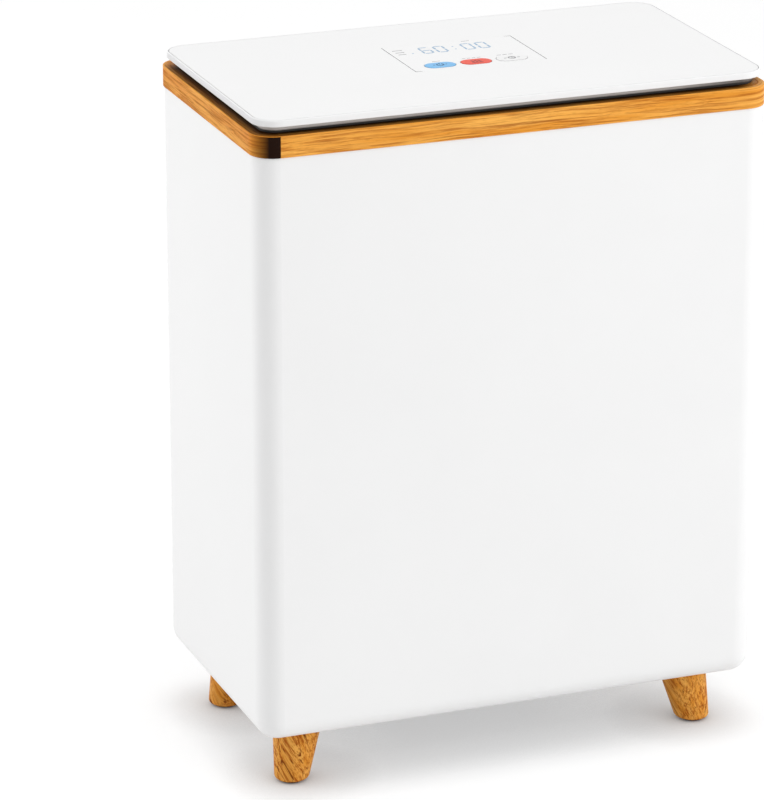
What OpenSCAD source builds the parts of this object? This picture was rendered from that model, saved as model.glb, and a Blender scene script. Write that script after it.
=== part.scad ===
// Towel warmer bucket: a tall heated box on four splayed wooden feet, with keys on its hinged lid.
// Millimetres, +Z up, front towards -Y. The origin is on the floor under the middle of the cabinet.

/* [Cabinet] */
// Width of the cabinet
body_w = 400; // [360:5:460]
// Depth of the cabinet
body_d = 226; // [210:2:280]
// Height of the cabinet, from its underside to the wooden ring
body_h = 452; // [400:2:500]
// Radius of the upright edges
corner_r = 17; // [14:1:22]
// Radius of the edges round the underside
bottom_r = 15; // [8:1:17]
// Thickness of the cabinet's wall
wall = 2.5; // [2:0.1:3.5]
// Gap between the cabinet's wall and what fits inside it
shell_fit = 0.2; // [0.1:0.1:0.5]

/* [Wooden ring] */
// Height of the wooden ring
ring_h = 16; // [12:1:24]
// Width of the ring's section
ring_w = 13; // [12:0.5:15]
// How far the ring stands out from the cabinet
ring_proud = 1; // [0.5:0.5:2]
// Thickness of the frame under the ring
frame_t = 4; // [3:0.5:6]
// Radius of the clearance holes for the frame's and the ring's screws
frame_hole_r = 1.7; // [1.5:0.1:2]
// Radius of the pilot holes that those screws cut into
pilot_r = 1.3; // [1:0.1:1.4]

/* [Inner bucket] */
// Gap between the cabinet's side and the bucket's wall
bucket_inset = 20; // [18:1:26]
// Thickness of the bucket's sheet
bucket_t = 1.2; // [0.8:0.1:2]
// Radius of the bucket's upright edges
bucket_r = 14; // [10:1:20]
// Radius of the edges round the bucket's floor
bucket_bottom_r = 12; // [6:1:14]
// Height of the space for the electrics under the bucket
bay_h = 75; // [70:1:90]
// Thickness of the heating film
film_t = 0.8; // [0.5:0.1:1.5]
// Height of the heating film
film_h = 190; // [120:5:240]
// Thickness of the insulation round the bucket
wrap_t = 8; // [4:0.5:8]
// Thickness of the insulation under the bucket
pad_t = 8; // [6:1:9]

/* [Feet] */
// Height of the feet, from the floor to the cabinet
foot_h = 46; // [35:1:55]
// Radius of a foot where it meets the cabinet
foot_top_r = 19; // [17:0.5:21]
// Radius of a foot at its lower end
foot_end_r = 13; // [10:0.5:16]
// How far the foot's upper middle lies in from the cabinet's side
foot_inset_x = 42; // [38:1:48]
// How far the foot's upper middle lies in from the cabinet's front
foot_inset_y = 43; // [38:1:48]
// How far the lower end splays out sideways
splay_x = 7.5; // [0:0.5:10]
// How far the lower end splays out to the front or rear
splay_y = 7; // [0:0.5:10]
// Thickness of the rubber pad under a foot
foot_pad_t = 1.5; // [1:0.5:3]
// Radius of the rubber pad
foot_pad_r = 9; // [6:0.5:9]
// Radius of the foot's threaded stud
stud_r = 4; // [3:0.5:5]
// Length of the stud inside the wood
stud_in_wood = 18; // [12:1:22]
// Wall of the threaded insert round the stud
insert_wall = 2; // [1.5:0.5:3]
// Height of the threaded insert
insert_h = 12; // [8:1:14]

/* [Lid] */
// Gap between the ring and the lid's plate
lid_gap = 6; // [5.6:0.2:8]
// Thickness of the lid's plate
lid_t = 5; // [4.5:0.5:7]
// How far the lid's plate lies in from the cabinet's side
lid_inset = 1.5; // [1:0.5:2]
// Corner radius of the lid's plate
lid_r = 18; // [14:1:24]
// How far the neck reaches down into the ring
neck_drop = 9; // [7:0.5:10]
// Thickness of the neck's wall
neck_wall = 2; // [1.5:0.5:2.5]
// Gap between the neck and the ring
neck_gap = 1.5; // [1.2:0.1:2.5]
// How far the neck's skirt lies in from the edge of the lid's plate
skirt_inset = 6; // [5:0.5:8]
// Gap between the skirt and the ring
skirt_gap = 0.5; // [0.4:0.1:1]
// Thickness of the lid's metal liner
liner_t = 0.8; // [0.5:0.1:1.2]
// Width of the lid's seal
seal_w = 5; // [4:0.5:6]
// Gap between the seal and the bucket's flange
seal_gap = 0.3; // [0.3:0.1:0.8]
// Thickness of the foam inside the lid
foam_t = 4; // [2:0.5:4]
// Radius of the posts under the lid's plate
post_r = 3.5; // [3:0.5:5]

/* [Hinges] */
// Distance of each hinge's middle from the cabinet's side
hinge_inset = 80; // [60:5:110]
// Length of one hinge
hinge_len = 44; // [36:2:60]
// Radius of the hinge's barrel
barrel_r = 2.5; // [2:0.1:2.6]
// Radius of the hinge's pin
pin_r = 1; // [0.8:0.1:1.2]
// Running clearance of the lid's knuckle round the pin
pin_fit = 0.05; // [0.02:0.01:0.09]
// Thickness of the hinge's leaves
leaf_t = 1.2; // [0.8:0.1:1.4]
// How far the hinge's axis lies in from the lid's rear edge
axis_inset = 1.5; // [1:0.1:1.8]
// End gap between the knuckles
knuckle_gap = 0.5; // [0.3:0.1:1]

/* [Control panel] */
// Width of the control panel
panel_w = 104.5; // [100:0.5:120]
// Depth of the control panel
panel_d = 72.5; // [70:0.5:84]
// Sideways place of the panel's middle
panel_x = 6.75; // [-10:0.25:20]
// Place of the panel's middle, to the rear of the lid's middle
panel_y = 12.75; // [0:0.25:20]
// Thickness of the panel
panel_t = 2; // [1.5:0.1:2.5]
// Gap at the panel's sides
panel_side_gap = 0.5; // [0.3:0.1:0.8]
// Gap at the panel's front and rear
panel_end_gap = 0.1; // [0.05:0.05:0.3]
// Width of the ledge that carries the panel
ledge_w = 3; // [2:0.5:4]
// Width of a key
key_w = 24; // [18:0.5:25]
// Depth of a key
key_d = 14; // [10:0.5:16]
// How far the keys' row lies to the right of the panel's middle
key_shift = 0.25; // [-2:0.25:2]
// Distance between the middles of two keys
key_pitch = 28.6; // [28:0.1:31]
// Gap between the keys' flanges and the panel's front ledge
key_ledge_gap = 0.75; // [0.3:0.05:2]
// How far a key stands proud of the panel
key_proud = 0.4; // [0:0.1:1]
// Travel of a key
key_travel = 0.5; // [0.3:0.1:0.6]
// Gap round a key
key_gap = 0.35; // [0.3:0.05:0.5]
// How far a key's flange reaches under the panel
key_flange = 0.9; // [0.6:0.1:1.2]
// Radius of a key's stem
stem_r = 1.5; // [1:0.1:1.8]
// Width of one digit
digit_w = 8.7; // [6:0.1:9]
// Height of one digit
digit_h = 17.5; // [12:0.5:20]
// Distance between two digits of a pair
digit_pitch = 11.7; // [11:0.1:12.5]
// How far the digits lie to the right of the panel's middle
digit_shift = -0.45; // [-2:0.05:2]
// Distance from the last digit of the first pair to the first of the second
pair_pitch = 22; // [20:0.5:24]
// Width of a digit's segment
segment_w = 1.5; // [0.8:0.1:2]
// Distance of the digits' middle from the panel's rear edge
digit_row = 18; // [14:0.5:20]

/* [Electrics] */
// Gap between the bottom cover and the feet beside it
cover_foot_gap = 4; // [3:0.5:8]
// How far the bottom cover lies in from the cabinet's front
cover_inset = 31; // [28:1:36]
// How far the bottom cover overlaps the service opening in the cabinet's floor
cover_lap = 10; // [9:0.5:12]
// Thickness of the bottom cover
cover_t = 2; // [1.5:0.5:3]
// Width of the power board
board_w = 150; // [130:5:180]
// Depth of the power board
board_d = 90; // [70:5:110]
// Thickness of both circuit boards
board_t = 1.6; // [1:0.1:2]
// Height of the posts under the power board
board_post_h = 12; // [8:1:20]
// Distance of the power inlet's middle from the cabinet's side
inlet_inset = 80; // [60:5:140]
// Height of the power inlet's middle above the cabinet's underside
inlet_up = 38; // [30:1:45]
// Width of the inlet's socket
socket_w = 24.4; // [24:0.1:25]
// Height of the inlet's socket
socket_h = 16.6; // [16:0.1:17]
// Depth of the inlet's socket
socket_depth = 16; // [14:0.5:18]
// Wall of the inlet's housing
inlet_wall = 1.6; // [1.2:0.1:2]
// Thickness of the inlet's rim outside the cabinet
inlet_rim = 1; // [0.6:0.1:1]

/* [Hidden] */
$fn = 48;
eps = 0.01;
lead_sides = 8;
slot_w = 0.7;

shell_z0 = foot_h;
shell_z1 = shell_z0 + body_h;
ring_z1 = shell_z1 + ring_h;
lid_z0 = ring_z1 + lid_gap;
lid_z1 = lid_z0 + lid_t;
shell_low_r = min(bottom_r, corner_r - 1);
inside_w = body_w - 2 * wall;
inside_d = body_d - 2 * wall;

ring_out_w = body_w + 2 * ring_proud;
ring_out_d = body_d + 2 * ring_proud;
ring_out_r = corner_r + ring_proud;
ring_in_w = ring_out_w - 2 * ring_w;
ring_in_d = ring_out_d - 2 * ring_w;
ring_in_r = max(ring_out_r - ring_w, 4);

bucket_w = body_w - 2 * bucket_inset;
bucket_d = body_d - 2 * bucket_inset;
bucket_z0 = shell_z0 + bay_h;
bucket_low_r = min(bucket_bottom_r, bucket_r - 1);
bucket_mouth_w = bucket_w - 2 * bucket_t;
bucket_mouth_d = bucket_d - 2 * bucket_t;
bucket_fit = 0.5;
film_up = 20;
wrap_up = 14;
wrap_top_gap = 36;
pad_inset = 14;
pad_r = 6;

boss_w = 14;
boss_h = 24;
boss_deep = 11;
screw_line = 7.5;
flange_screw_gap = 0.3;
flange_out_w = body_w - 2 * (screw_line + frame_hole_r + flange_screw_gap);
flange_out_d = body_d - 2 * (screw_line + frame_hole_r + flange_screw_gap);
flange_r = ring_in_r + 3;
frame_side_y = body_d / 2 - 53;
frame_end_x = body_w / 2 - 90;
ring_side_y = body_d / 2 - 83;
ring_end_x = body_w / 2 - 140;
frame_spots = [for (s = [-1, 1], y = [-1, 1]) [s * (body_w / 2 - screw_line), y * frame_side_y]];
frame_end_spots = [for (s = [-1, 1], x = [-1, 1]) [x * frame_end_x, s * (body_d / 2 - screw_line)]];
ring_spots = [for (s = [-1, 1], y = [-1, 1]) [s * (body_w / 2 - screw_line), y * ring_side_y]];
ring_end_spots = [for (s = [-1, 1], x = [-1, 1]) [x * ring_end_x, s * (body_d / 2 - screw_line)]];
rim_spots = concat(frame_spots, frame_end_spots);
ring_fixings = concat(ring_spots, ring_end_spots);
boss_z0 = shell_z1 - frame_t - boss_h;
frame_screw_len = 16;
frame_head_r = 3;
frame_head_t = 2;
head_gap = 0.2;
boss_pilot_up = 4;
ring_screw_up = 10;
ring_screw_end_gap = 1;

foot_x = body_w / 2 - foot_inset_x;
foot_y = body_d / 2 - foot_inset_y;
foot_len_z = foot_h - foot_pad_t;
foot_lean = atan(norm([splay_x, splay_y]) / foot_len_z);
foot_turn = splay_x == 0 && splay_y == 0 ? 0 : atan2(splay_y, splay_x);
foot_axis_len = norm([splay_x, splay_y, foot_len_z]);
foot_over = 12;
foot_boss_wall = 5;
foot_slope = (foot_end_r - foot_top_r) / foot_axis_len;
insert_lift = 0.5;
foot_boss_r = stud_r + insert_wall + foot_boss_wall;
foot_boss_h = insert_h + wall + insert_lift;
corners = [[-1, -1], [1, -1], [-1, 1], [1, 1]];

cover_w = 2 * (foot_x - foot_top_r - cover_foot_gap);
cover_d = body_d - 2 * cover_inset;
service_w = cover_w - 2 * cover_lap;
service_d = cover_d - 2 * cover_lap;
cover_r = 12;
cover_boss_r = 4;
cover_boss_h = 10;
cover_side_y = 45;
cover_hole_r = 1.8;
cover_spots = [
    for (s = [-1, 1], y = [-1, 1]) [s * (service_w + cover_lap) / 2, y * cover_side_y],
    for (s = [-1, 1]) [0, s * (service_d + cover_lap) / 2]
];
cover_screw_len = 8;
cover_head_r = 3.2;
cover_head_t = 1.8;
vent_n = 9;
vent_pitch = 9;
vent_len = 26;
vent_w = 3;
vent_inset = 17;
vent_x = service_w / 2 - vent_inset - vent_len / 2;

board_z0 = shell_z0 + board_post_h;
board_z1 = board_z0 + board_t;
board_post_r = 3.5;
board_edge = 6;
board_spots = [for (c = corners) [c[0] * (board_w / 2 - board_edge), c[1] * (board_d / 2 - board_edge)]];
board_hole_r = 1.6;
board_screw_len = 8;
board_head_r = 2.6;
board_head_t = 1.6;
relay = [20, 16, 16];
relay_at = [-18, -30];
transformer = [32, 26, 24];
transformer_at = [12, -28];
terminal = [12, 30, 12];
terminal_edge = 12;
plug_row = [16, 8, 8];
plug_edge = 10;
capacitor_r = 5;
capacitor_h = 18;
capacitor_xs = [-40, -28];
capacitor_y = -22;

thermostat_r = 8;
tab_w = 5;
tab_len = 7;
tab_root = 1;
tab_t = 0.8;
tab_up = 1.4;
fuse_r = 2;
fuse_len = 12;
fuse_x = 30;
sensor_r = 3.5;
sensor_h = 4;
sensor_tail = [4, 10, 1.6];
sensor_win_w = 96;
sensor_win_d = 36;
strap_t = 1;
strap_w = 10;
strap_len = 84;
strap_pad_w = 6;

inlet_x = body_w / 2 - inlet_inset;
inlet_z = shell_z0 + inlet_up;
inlet_y1 = body_d / 2 + inlet_rim;
inlet_back = 3;
inlet_y0 = inlet_y1 - socket_depth - inlet_back;
inlet_w = socket_w + 2 * inlet_wall;
inlet_h = socket_h + 2 * inlet_wall;
inlet_lip = 2;
inlet_chamfer = 4.2;
blade_w = 2;
blade_h = 4;
blade_len = socket_depth - 1.5;
blade_tail = 6;
blade_spread = 7;
blade_drop = 2;
blade_lift = 2;
blade_spots = [[-blade_spread, -blade_drop], [blade_spread, -blade_drop], [0, blade_lift]];

neck_w = ring_in_w - 2 * neck_gap;
neck_d = ring_in_d - 2 * neck_gap;
neck_r = max(ring_in_r - neck_gap, 2.5);
neck_in_w = neck_w - 2 * neck_wall;
neck_in_d = neck_d - 2 * neck_wall;
skirt_w = body_w - 2 * (lid_inset + skirt_inset);
skirt_d = body_d - 2 * (lid_inset + skirt_inset);
skirt_r = lid_r - skirt_inset;
skirt_hinge_gap = 8;
skirt_y1 = neck_d / 2 - skirt_hinge_gap;
neck_z0 = ring_z1 - neck_drop;
neck_floor_z1 = neck_z0 + neck_wall;
seal_out_gap = 1;
seal_out_w = neck_w - 2 * seal_out_gap;
seal_out_d = neck_d - 2 * seal_out_gap;
seal_z0 = shell_z1 + bucket_t + seal_gap;
seal_r = 4;
liner_gap = 1;
liner_w = seal_out_w - 2 * seal_w - 2 * liner_gap;
liner_d = seal_out_d - 2 * seal_w - 2 * liner_gap;
liner_z0 = neck_z0 - liner_t;
post_edge = 12;
post_mid_x = 0.5;
post_x = neck_w / 2 - post_edge;
post_y = neck_d / 2 - post_edge;
neck_posts = [for (c = corners, k = [1, post_mid_x]) [c[0] * post_x * k, c[1] * post_y]];
neck_hole_r = 1.8;
neck_pilot_r = 1.25;
neck_screw_len = 10;
neck_head_r = 3;
neck_head_t = 1.5;
foam_gap = 1;
foam_z1 = neck_floor_z1 + foam_t;
foam_hole_gap = 0.5;

hinge_x = body_w / 2 - hinge_inset;
axis_y = body_d / 2 - lid_inset - axis_inset;
axis_z = ring_z1 + lid_gap / 2;
knuckle_mid = 19;
leaf_web = 3;
leaf_front_gap = 1.5;
leaf_y0 = ring_in_d / 2 + leaf_front_gap;
leaf_y1 = axis_y + barrel_r;
leaf_fit = 0.1;
leaf_neck_gap = 1;
leaf_barrel_gap = 0.7;
web_lap = 0.3;
lid_leaf_y0 = neck_d / 2 + leaf_neck_gap;
lid_leaf_y1 = axis_y - barrel_r - leaf_barrel_gap;
hinge_screw_x = 15;
base_screw_in = 2.5;
base_screw_y = leaf_y0 + base_screw_in;
lid_screw_y = (lid_leaf_y0 + lid_leaf_y1) / 2;
hinge_hole_r = 1.25;
hinge_head_r = 2.2;
hinge_head_t = 1.2;
base_screw_len = 10;
lid_screw_len = 3.6;
hinge_sides = [-1, 1];
hinge_screws = [for (s = hinge_sides, k = [-1, 1]) s * hinge_x + k * hinge_screw_x];
base_screw_spots = [for (x = hinge_screws) [x, base_screw_y]];
lid_screw_spots = [for (x = hinge_screws) [x, lid_screw_y]];

panel_z0 = lid_z1 - panel_t;
panel_front = panel_y - panel_d / 2;
panel_rear = panel_y + panel_d / 2;
well_w = panel_w - 2 * ledge_w;
well_d = panel_d - 2 * ledge_w;

control_drop = 5.4;
control_z1 = lid_z0 - control_drop;
control_z0 = control_z1 - board_t;
control_post_out = 4.5;
control_post_r = post_r - 0.5;
control_post_x = panel_w / 2 + control_post_out;
control_post_y = panel_d / 2 + control_post_out;
control_rim = 5;
control_w = 2 * (control_post_x + control_rim);
control_d = 2 * (control_post_y + control_rim);
control_spots = [for (c = corners) [panel_x + c[0] * control_post_x, panel_y + c[1] * control_post_y]];
control_pilot_r = 1.1;
control_hole_r = 1.5;
control_screw_len = 5;
control_head_r = 2.4;
control_head_t = 1.4;

key_y = panel_front + ledge_w + key_ledge_gap + key_flange + key_gap + key_d / 2;
key_x0 = panel_x + key_shift - key_pitch;
key_order = [0:2];
key_flange_t = 1;
key_panel_gap = 0.4;
key_flange_z1 = panel_z0 - key_panel_gap;
switch_w = 6;
switch_h = 3.5;
switch_floor = 0.8;
stem_gap = 0.4;
switch_bore_r = stem_r + stem_gap;
stem_floor_gap = 0.9;
stem_z0 = control_z1 + switch_floor + key_travel + stem_floor_gap;

digit_y = panel_rear - digit_row;
digit_x0 = panel_x + digit_shift - digit_pitch - pair_pitch / 2;
digit_xs = [digit_x0, digit_x0 + digit_pitch, digit_x0 + digit_pitch + pair_pitch,
    digit_x0 + 2 * digit_pitch + pair_pitch];
// For each digit, 1 where lit: top, upper right, lower right, middle, upper left, lower left, bottom
digit_lit = [[1, 0, 1, 1, 1, 1, 1], [1, 1, 1, 0, 1, 1, 1], [1, 1, 1, 0, 1, 1, 1], [1, 1, 1, 0, 1, 1, 1]];
segment_fit = 0.05;
segment_split = 0.35;
colon_x = (digit_xs[1] + digit_xs[2]) / 2;
colon_r = 0.8;
colon_dy = 3.6;
lamp_dx = -12.2;
lamp_dy = -4.8;
lamp_r = 0.8;
display_rim = 3;
display_panel_gap = 1;
display_top = panel_z0 - display_panel_gap;
display_x0 = digit_xs[0] + lamp_dx - display_rim;
display_x1 = digit_xs[3] + digit_w / 2 + display_rim;

// Routes of the leads, chosen by hand
mains_route = [[inlet_x, inlet_y0 - blade_tail, inlet_z], [inlet_x, inlet_y0 - 14, inlet_z - 1],
    [inlet_x - 10, inlet_y0 - 26, inlet_z - 8], [inlet_x - 28, inlet_y0 - 38, board_z1 + 9],
    [board_w / 2 - 4, board_d / 2 - 16, board_z1 + 7],
    [board_w / 2 - terminal_edge, board_d / 2 - 16, board_z1 + 7]];
mains_r = 3;
heater_r = 2;
heater_gap = 0.4;
heater_x = -bucket_w / 2 - film_t - heater_gap - heater_r;
heater_route = [[-board_w / 2 + terminal_edge, 14, board_z1 + 7], [-board_w / 2 + 3, 14, board_z1 + 8],
    [-board_w / 2 - 16, 12, board_z1 + 16], [-bucket_w / 2 + 40, 8, bucket_z0 - pad_t - 8],
    [-bucket_w / 2 + 16, 4, bucket_z0 - pad_t - 6], [heater_x, 0, bucket_z0 - 4],
    [heater_x, 0, bucket_z0 + film_up]];
signal_r = 1.6;
signal_gap = 0.8;
signal_y = flange_out_d / 2 + signal_gap + signal_r;
signal_route = [[0, board_d / 2 - plug_edge, board_z1 + 6], [0, board_d / 2 - 2, board_z1 + 6.5],
    [0, board_d / 2 + 24, board_z1 + 14], [0, signal_y - 6, board_z1 + 30], [0, signal_y, bucket_z0 - 12],
    [0, signal_y, bucket_z0 + 20], [0, signal_y, ring_z1 - 2], [0, signal_y, axis_z - 0.7]];
lead_hole_gap = 0.4;
signal_hole_r = signal_r + lead_hole_gap;
lid_lead_r = 1.1;
lid_lead_z = axis_z + 0.8;
lid_lead_hole_r = lid_lead_r + lead_hole_gap;
lid_route = [[0, control_post_y + panel_y - 4, control_z1 + lid_lead_r],
    [0, control_post_y + panel_y + 8, control_z1 + lid_lead_r], [0, neck_d / 2 - 20, lid_lead_z - 0.3],
    [0, neck_d / 2 - 8, lid_lead_z], [0, signal_y + 1, lid_lead_z]];

// A rectangle with round corners, about the origin
module round_rect(w, d, r) {
    square([w - 2 * r, d], center = true);
    square([w, d - 2 * r], center = true);
    for (c = corners)
        translate([c[0] * (w / 2 - r), c[1] * (d / 2 - r)])
            circle(r);
}

// An upright block with round corners
module round_block(w, d, r, z0, z1) {
    translate([0, 0, z0])
        linear_extrude(z1 - z0)
            round_rect(w, d, r);
}

// The half outline of a block's side, with its lower edge round
module side_outline(reach, h, r) {
    translate([0, r])
        square([reach, h - r]);
    square([reach - r, r + eps]);
    translate([reach - r, r])
        intersection() {
            circle(r);
            translate([0, -r])
                square([r, r + eps]);
        }
}

// A block with round upright edges and round lower edges
module tub_block(w, d, h, r, low_r, z0) {
    translate([0, 0, z0]) {
        for (s = [0, 180])
            rotate([0, 0, s])
                translate([0, d / 2 - r, 0])
                    rotate([90, 0, 0])
                        linear_extrude(d - 2 * r)
                            side_outline(w / 2, h, low_r);
        for (s = [90, -90])
            rotate([0, 0, s])
                translate([d / 2 - r, w / 2 - r, 0])
                    rotate([90, 0, 0])
                        linear_extrude(w - 2 * r)
                            side_outline(r, h, low_r);
        for (k = [0:3])
            translate([(k == 0 || k == 3 ? 1 : -1) * (w / 2 - r), (k < 2 ? 1 : -1) * (d / 2 - r), 0])
                rotate([0, 0, 90 * k])
                    rotate_extrude(angle = 90)
                        side_outline(r, h, low_r);
    }
}

// Upright cylinders at a list of places
module posts(spots, r, z0, z1) {
    for (p = spots)
        translate([p[0], p[1], z0])
            cylinder(r = r, h = z1 - z0, $fn = 32);
}

// Screws whose heads lie below (side = -1) or above (side = 1) the height z
module screws(spots, z, side, r, len, head_r, head_t) {
    for (p = spots)
        translate([p[0], p[1], z])
            mirror([0, 0, side > 0 ? 1 : 0]) {
                cylinder(r = r, h = len, $fn = 32);
                difference() {
                    translate([0, 0, -head_t])
                        cylinder(r = head_r, h = head_t, $fn = 32);
                    for (a = [0, 90])
                        rotate([0, 0, a])
                            translate([-head_r * 0.6, -slot_w / 2, -head_t - eps])
                                cube([head_r * 1.2, slot_w, head_t * 0.5]);
                }
            }
}

// Unit vector, and the directions along a route
function unit(v) = v / norm(v);
function heading(p, i) =
    i == 0 ? unit(p[1] - p[0])
    : i == len(p) - 1 ? unit(p[i] - p[i - 1])
    : unit(unit(p[i] - p[i - 1]) + unit(p[i + 1] - p[i]));
function across(p, i, last) = unit(last - (last * heading(p, i)) * heading(p, i));
function sides_of(p, i = 0, out = []) =
    i == len(p) ? out
    : sides_of(p, i + 1, concat(out, [across(p, i, i == 0 ? [0.3, 0.9, 0.31] : out[i - 1])]));
// A point at the share t of the way from p[i] to p[i + 1], on a smooth curve
function between(p, i, t) =
    let (len = norm(p[i + 1] - p[i]), a = heading(p, i) * len, b = heading(p, i + 1) * len)
        (2 * t * t * t - 3 * t * t + 1) * p[i] + (t * t * t - 2 * t * t + t) * a
        + (3 * t * t - 2 * t * t * t) * p[i + 1] + (t * t * t - t * t) * b;
function smooth(p, n) = concat(
    [for (i = [0:len(p) - 2], k = [0:n - 1]) between(p, i, k / n)],
    [p[len(p) - 1]]);

// One unbroken tube along a smooth curve through the route's points
module lead(route, r, n = 3) {
    path = smooth(route, n);
    side = sides_of(path);
    rings = [for (i = [0:len(path) - 1], k = [0:lead_sides - 1])
        let (u = side[i], v = cross(heading(path, i), u), a = 360 * k / lead_sides)
            path[i] + r * (cos(a) * u + sin(a) * v)];
    last = len(path) - 1;
    walls = [for (i = [0:last - 1], k = [0:lead_sides - 1])
        let (a = i * lead_sides + k, b = i * lead_sides + (k + 1) % lead_sides)
            each [[a, a + lead_sides, b], [b, a + lead_sides, b + lead_sides]]];
    ends = [[for (k = [0:lead_sides - 1]) k], [for (k = [lead_sides - 1:-1:0]) last * lead_sides + k]];
    polyhedron(rings, concat(walls, ends), convexity = 4);
}

// The white cabinet
module outer_shell() {
    color("white")
        difference() {
            union() {
                difference() {
                    tub_block(body_w, body_d, body_h, corner_r, shell_low_r, shell_z0);
                    tub_block(inside_w, inside_d, body_h, corner_r - wall, shell_low_r - wall,
                        shell_z0 + wall);
                }
                posts(cover_spots, cover_boss_r, shell_z0, shell_z0 + cover_boss_h);
                for (c = corners)
                    translate([c[0] * foot_x, c[1] * foot_y, shell_z0])
                        cylinder(r = foot_boss_r, h = foot_boss_h);
                for (s = [-1, 1], y = [-1, 1])
                    translate([s > 0 ? inside_w / 2 - boss_deep : -inside_w / 2,
                        y * frame_side_y - boss_w / 2, boss_z0])
                        cube([boss_deep, boss_w, boss_h]);
                for (s = [-1, 1], x = [-1, 1])
                    translate([x * frame_end_x - boss_w / 2,
                        s > 0 ? inside_d / 2 - boss_deep : -inside_d / 2, boss_z0])
                        cube([boss_w, boss_deep, boss_h]);
            }
            round_block(service_w, service_d, cover_r - cover_lap / 2, shell_z0 - 1, shell_z0 + wall + 1);
            posts(cover_spots, pilot_r, shell_z0 - 1, shell_z0 + cover_boss_h - 1);
            for (c = corners)
                translate([c[0] * foot_x, c[1] * foot_y, shell_z0 - 1])
                    cylinder(r = stud_r + insert_wall, h = insert_lift + insert_h + 1);
            posts(rim_spots, pilot_r, boss_z0 + boss_pilot_up, shell_z1);
            translate([inlet_x, body_d / 2 - wall / 2, inlet_z])
                cube([inlet_w + shell_fit, wall + 2, inlet_h + shell_fit], center = true);
        }
}

// The plate that closes the service opening, with vents and the board's posts
module bottom_cover() {
    color("gainsboro")
        difference() {
            union() {
                round_block(cover_w, cover_d, cover_r, shell_z0 - cover_t, shell_z0);
                posts(board_spots, board_post_r, shell_z0 - eps, board_z0);
            }
            posts(cover_spots, cover_hole_r, shell_z0 - cover_t - 1, shell_z0 + 1);
            posts(board_spots, pilot_r, board_z0 - board_screw_len, board_z0 + 1);
            for (s = [-1, 1], k = [0:vent_n - 1])
                translate([s * vent_x - vent_len / 2, (k - (vent_n - 1) / 2) * vent_pitch - vent_w / 2,
                    shell_z0 - cover_t - 1])
                    cube([vent_len, vent_w, cover_t + 2]);
        }
}

module cover_screws() {
    color("silver")
        screws(cover_spots, shell_z0 - cover_t, -1, pilot_r, cover_screw_len, cover_head_r, cover_head_t);
}

// The frame that carries the bucket's flange and the wooden ring
module top_frame() {
    color("dimgray")
        difference() {
            round_block(inside_w - 2 * shell_fit, inside_d - 2 * shell_fit, corner_r - wall - shell_fit,
                shell_z1 - frame_t, shell_z1);
            round_block(bucket_w + 2 * bucket_fit, bucket_d + 2 * bucket_fit, bucket_r + bucket_fit,
                shell_z1 - frame_t - 1, shell_z1 + 1);
            posts(concat(rim_spots, ring_fixings), frame_hole_r, shell_z1 - frame_t - 1, shell_z1 + 1);
            posts(rim_spots, frame_head_r + head_gap, shell_z1 - frame_head_t, shell_z1 + 1);
            posts([[0, signal_y]], signal_hole_r, shell_z1 - frame_t - 1, shell_z1 + 1);
        }
}

module frame_screws() {
    color("silver")
        screws(rim_spots, shell_z1 - frame_head_t, 1, pilot_r, frame_screw_len, frame_head_r, frame_head_t);
}

// The wooden ring, rebated over the bucket's flange
module wood_ring() {
    color("peru")
        difference() {
            round_block(ring_out_w, ring_out_d, ring_out_r, shell_z1, ring_z1);
            round_block(ring_in_w, ring_in_d, ring_in_r, shell_z1 - 1, ring_z1 + 1);
            round_block(flange_out_w + shell_fit, flange_out_d + shell_fit, flange_r, shell_z1 - 1,
                shell_z1 + bucket_t);
            posts(ring_fixings, pilot_r, shell_z1 - 1, shell_z1 + ring_screw_up);
            posts([[0, signal_y]], signal_hole_r, shell_z1 - 1, ring_z1 + 1);
            for (s = hinge_sides) {
                translate([s * hinge_x - hinge_len / 2 - leaf_fit, leaf_y0 - leaf_fit, ring_z1 - leaf_t])
                    cube([hinge_len + 2 * leaf_fit, leaf_y1 - leaf_y0 + 2 * leaf_fit, leaf_t + 1]);
            }
            posts(base_screw_spots, hinge_hole_r, ring_z1 - base_screw_len, ring_z1);
        }
}

module ring_screws() {
    color("silver")
        screws(ring_fixings, shell_z1 - frame_t, -1, pilot_r, frame_t + ring_screw_up - ring_screw_end_gap,
            frame_head_r, frame_head_t);
}

// The bucket that holds the towels
module inner_bucket() {
    color("lightgray")
        difference() {
            union() {
                tub_block(bucket_w, bucket_d, shell_z1 - bucket_z0, bucket_r, bucket_low_r, bucket_z0);
                round_block(flange_out_w, flange_out_d, flange_r, shell_z1, shell_z1 + bucket_t);
            }
            tub_block(bucket_mouth_w, bucket_mouth_d, shell_z1 - bucket_z0 + bucket_t, bucket_r - bucket_t,
                bucket_low_r - bucket_t, bucket_z0 + bucket_t);
        }
}

// A wrap of even thickness round the bucket
module bucket_wrap(gap, t, z0, z1) {
    difference() {
        round_block(bucket_w + 2 * (gap + t), bucket_d + 2 * (gap + t), bucket_r + gap + t, z0, z1);
        round_block(bucket_w + 2 * gap, bucket_d + 2 * gap, bucket_r + gap, z0 - 1, z1 + 1);
    }
}

module heating_film() {
    color("goldenrod")
        bucket_wrap(0, film_t, bucket_z0 + film_up, bucket_z0 + film_up + film_h);
}

module insulation_wrap() {
    color("khaki")
        difference() {
            bucket_wrap(film_t, wrap_t, bucket_z0 + wrap_up, shell_z1 - wrap_top_gap);
            translate([-bucket_w / 2 - film_t - wrap_t, -heater_r - 1, bucket_z0 + wrap_up - 1])
                cube([wrap_t + 2 * film_t, 2 * heater_r + 2, film_up - wrap_up + 4]);
        }
}

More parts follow.
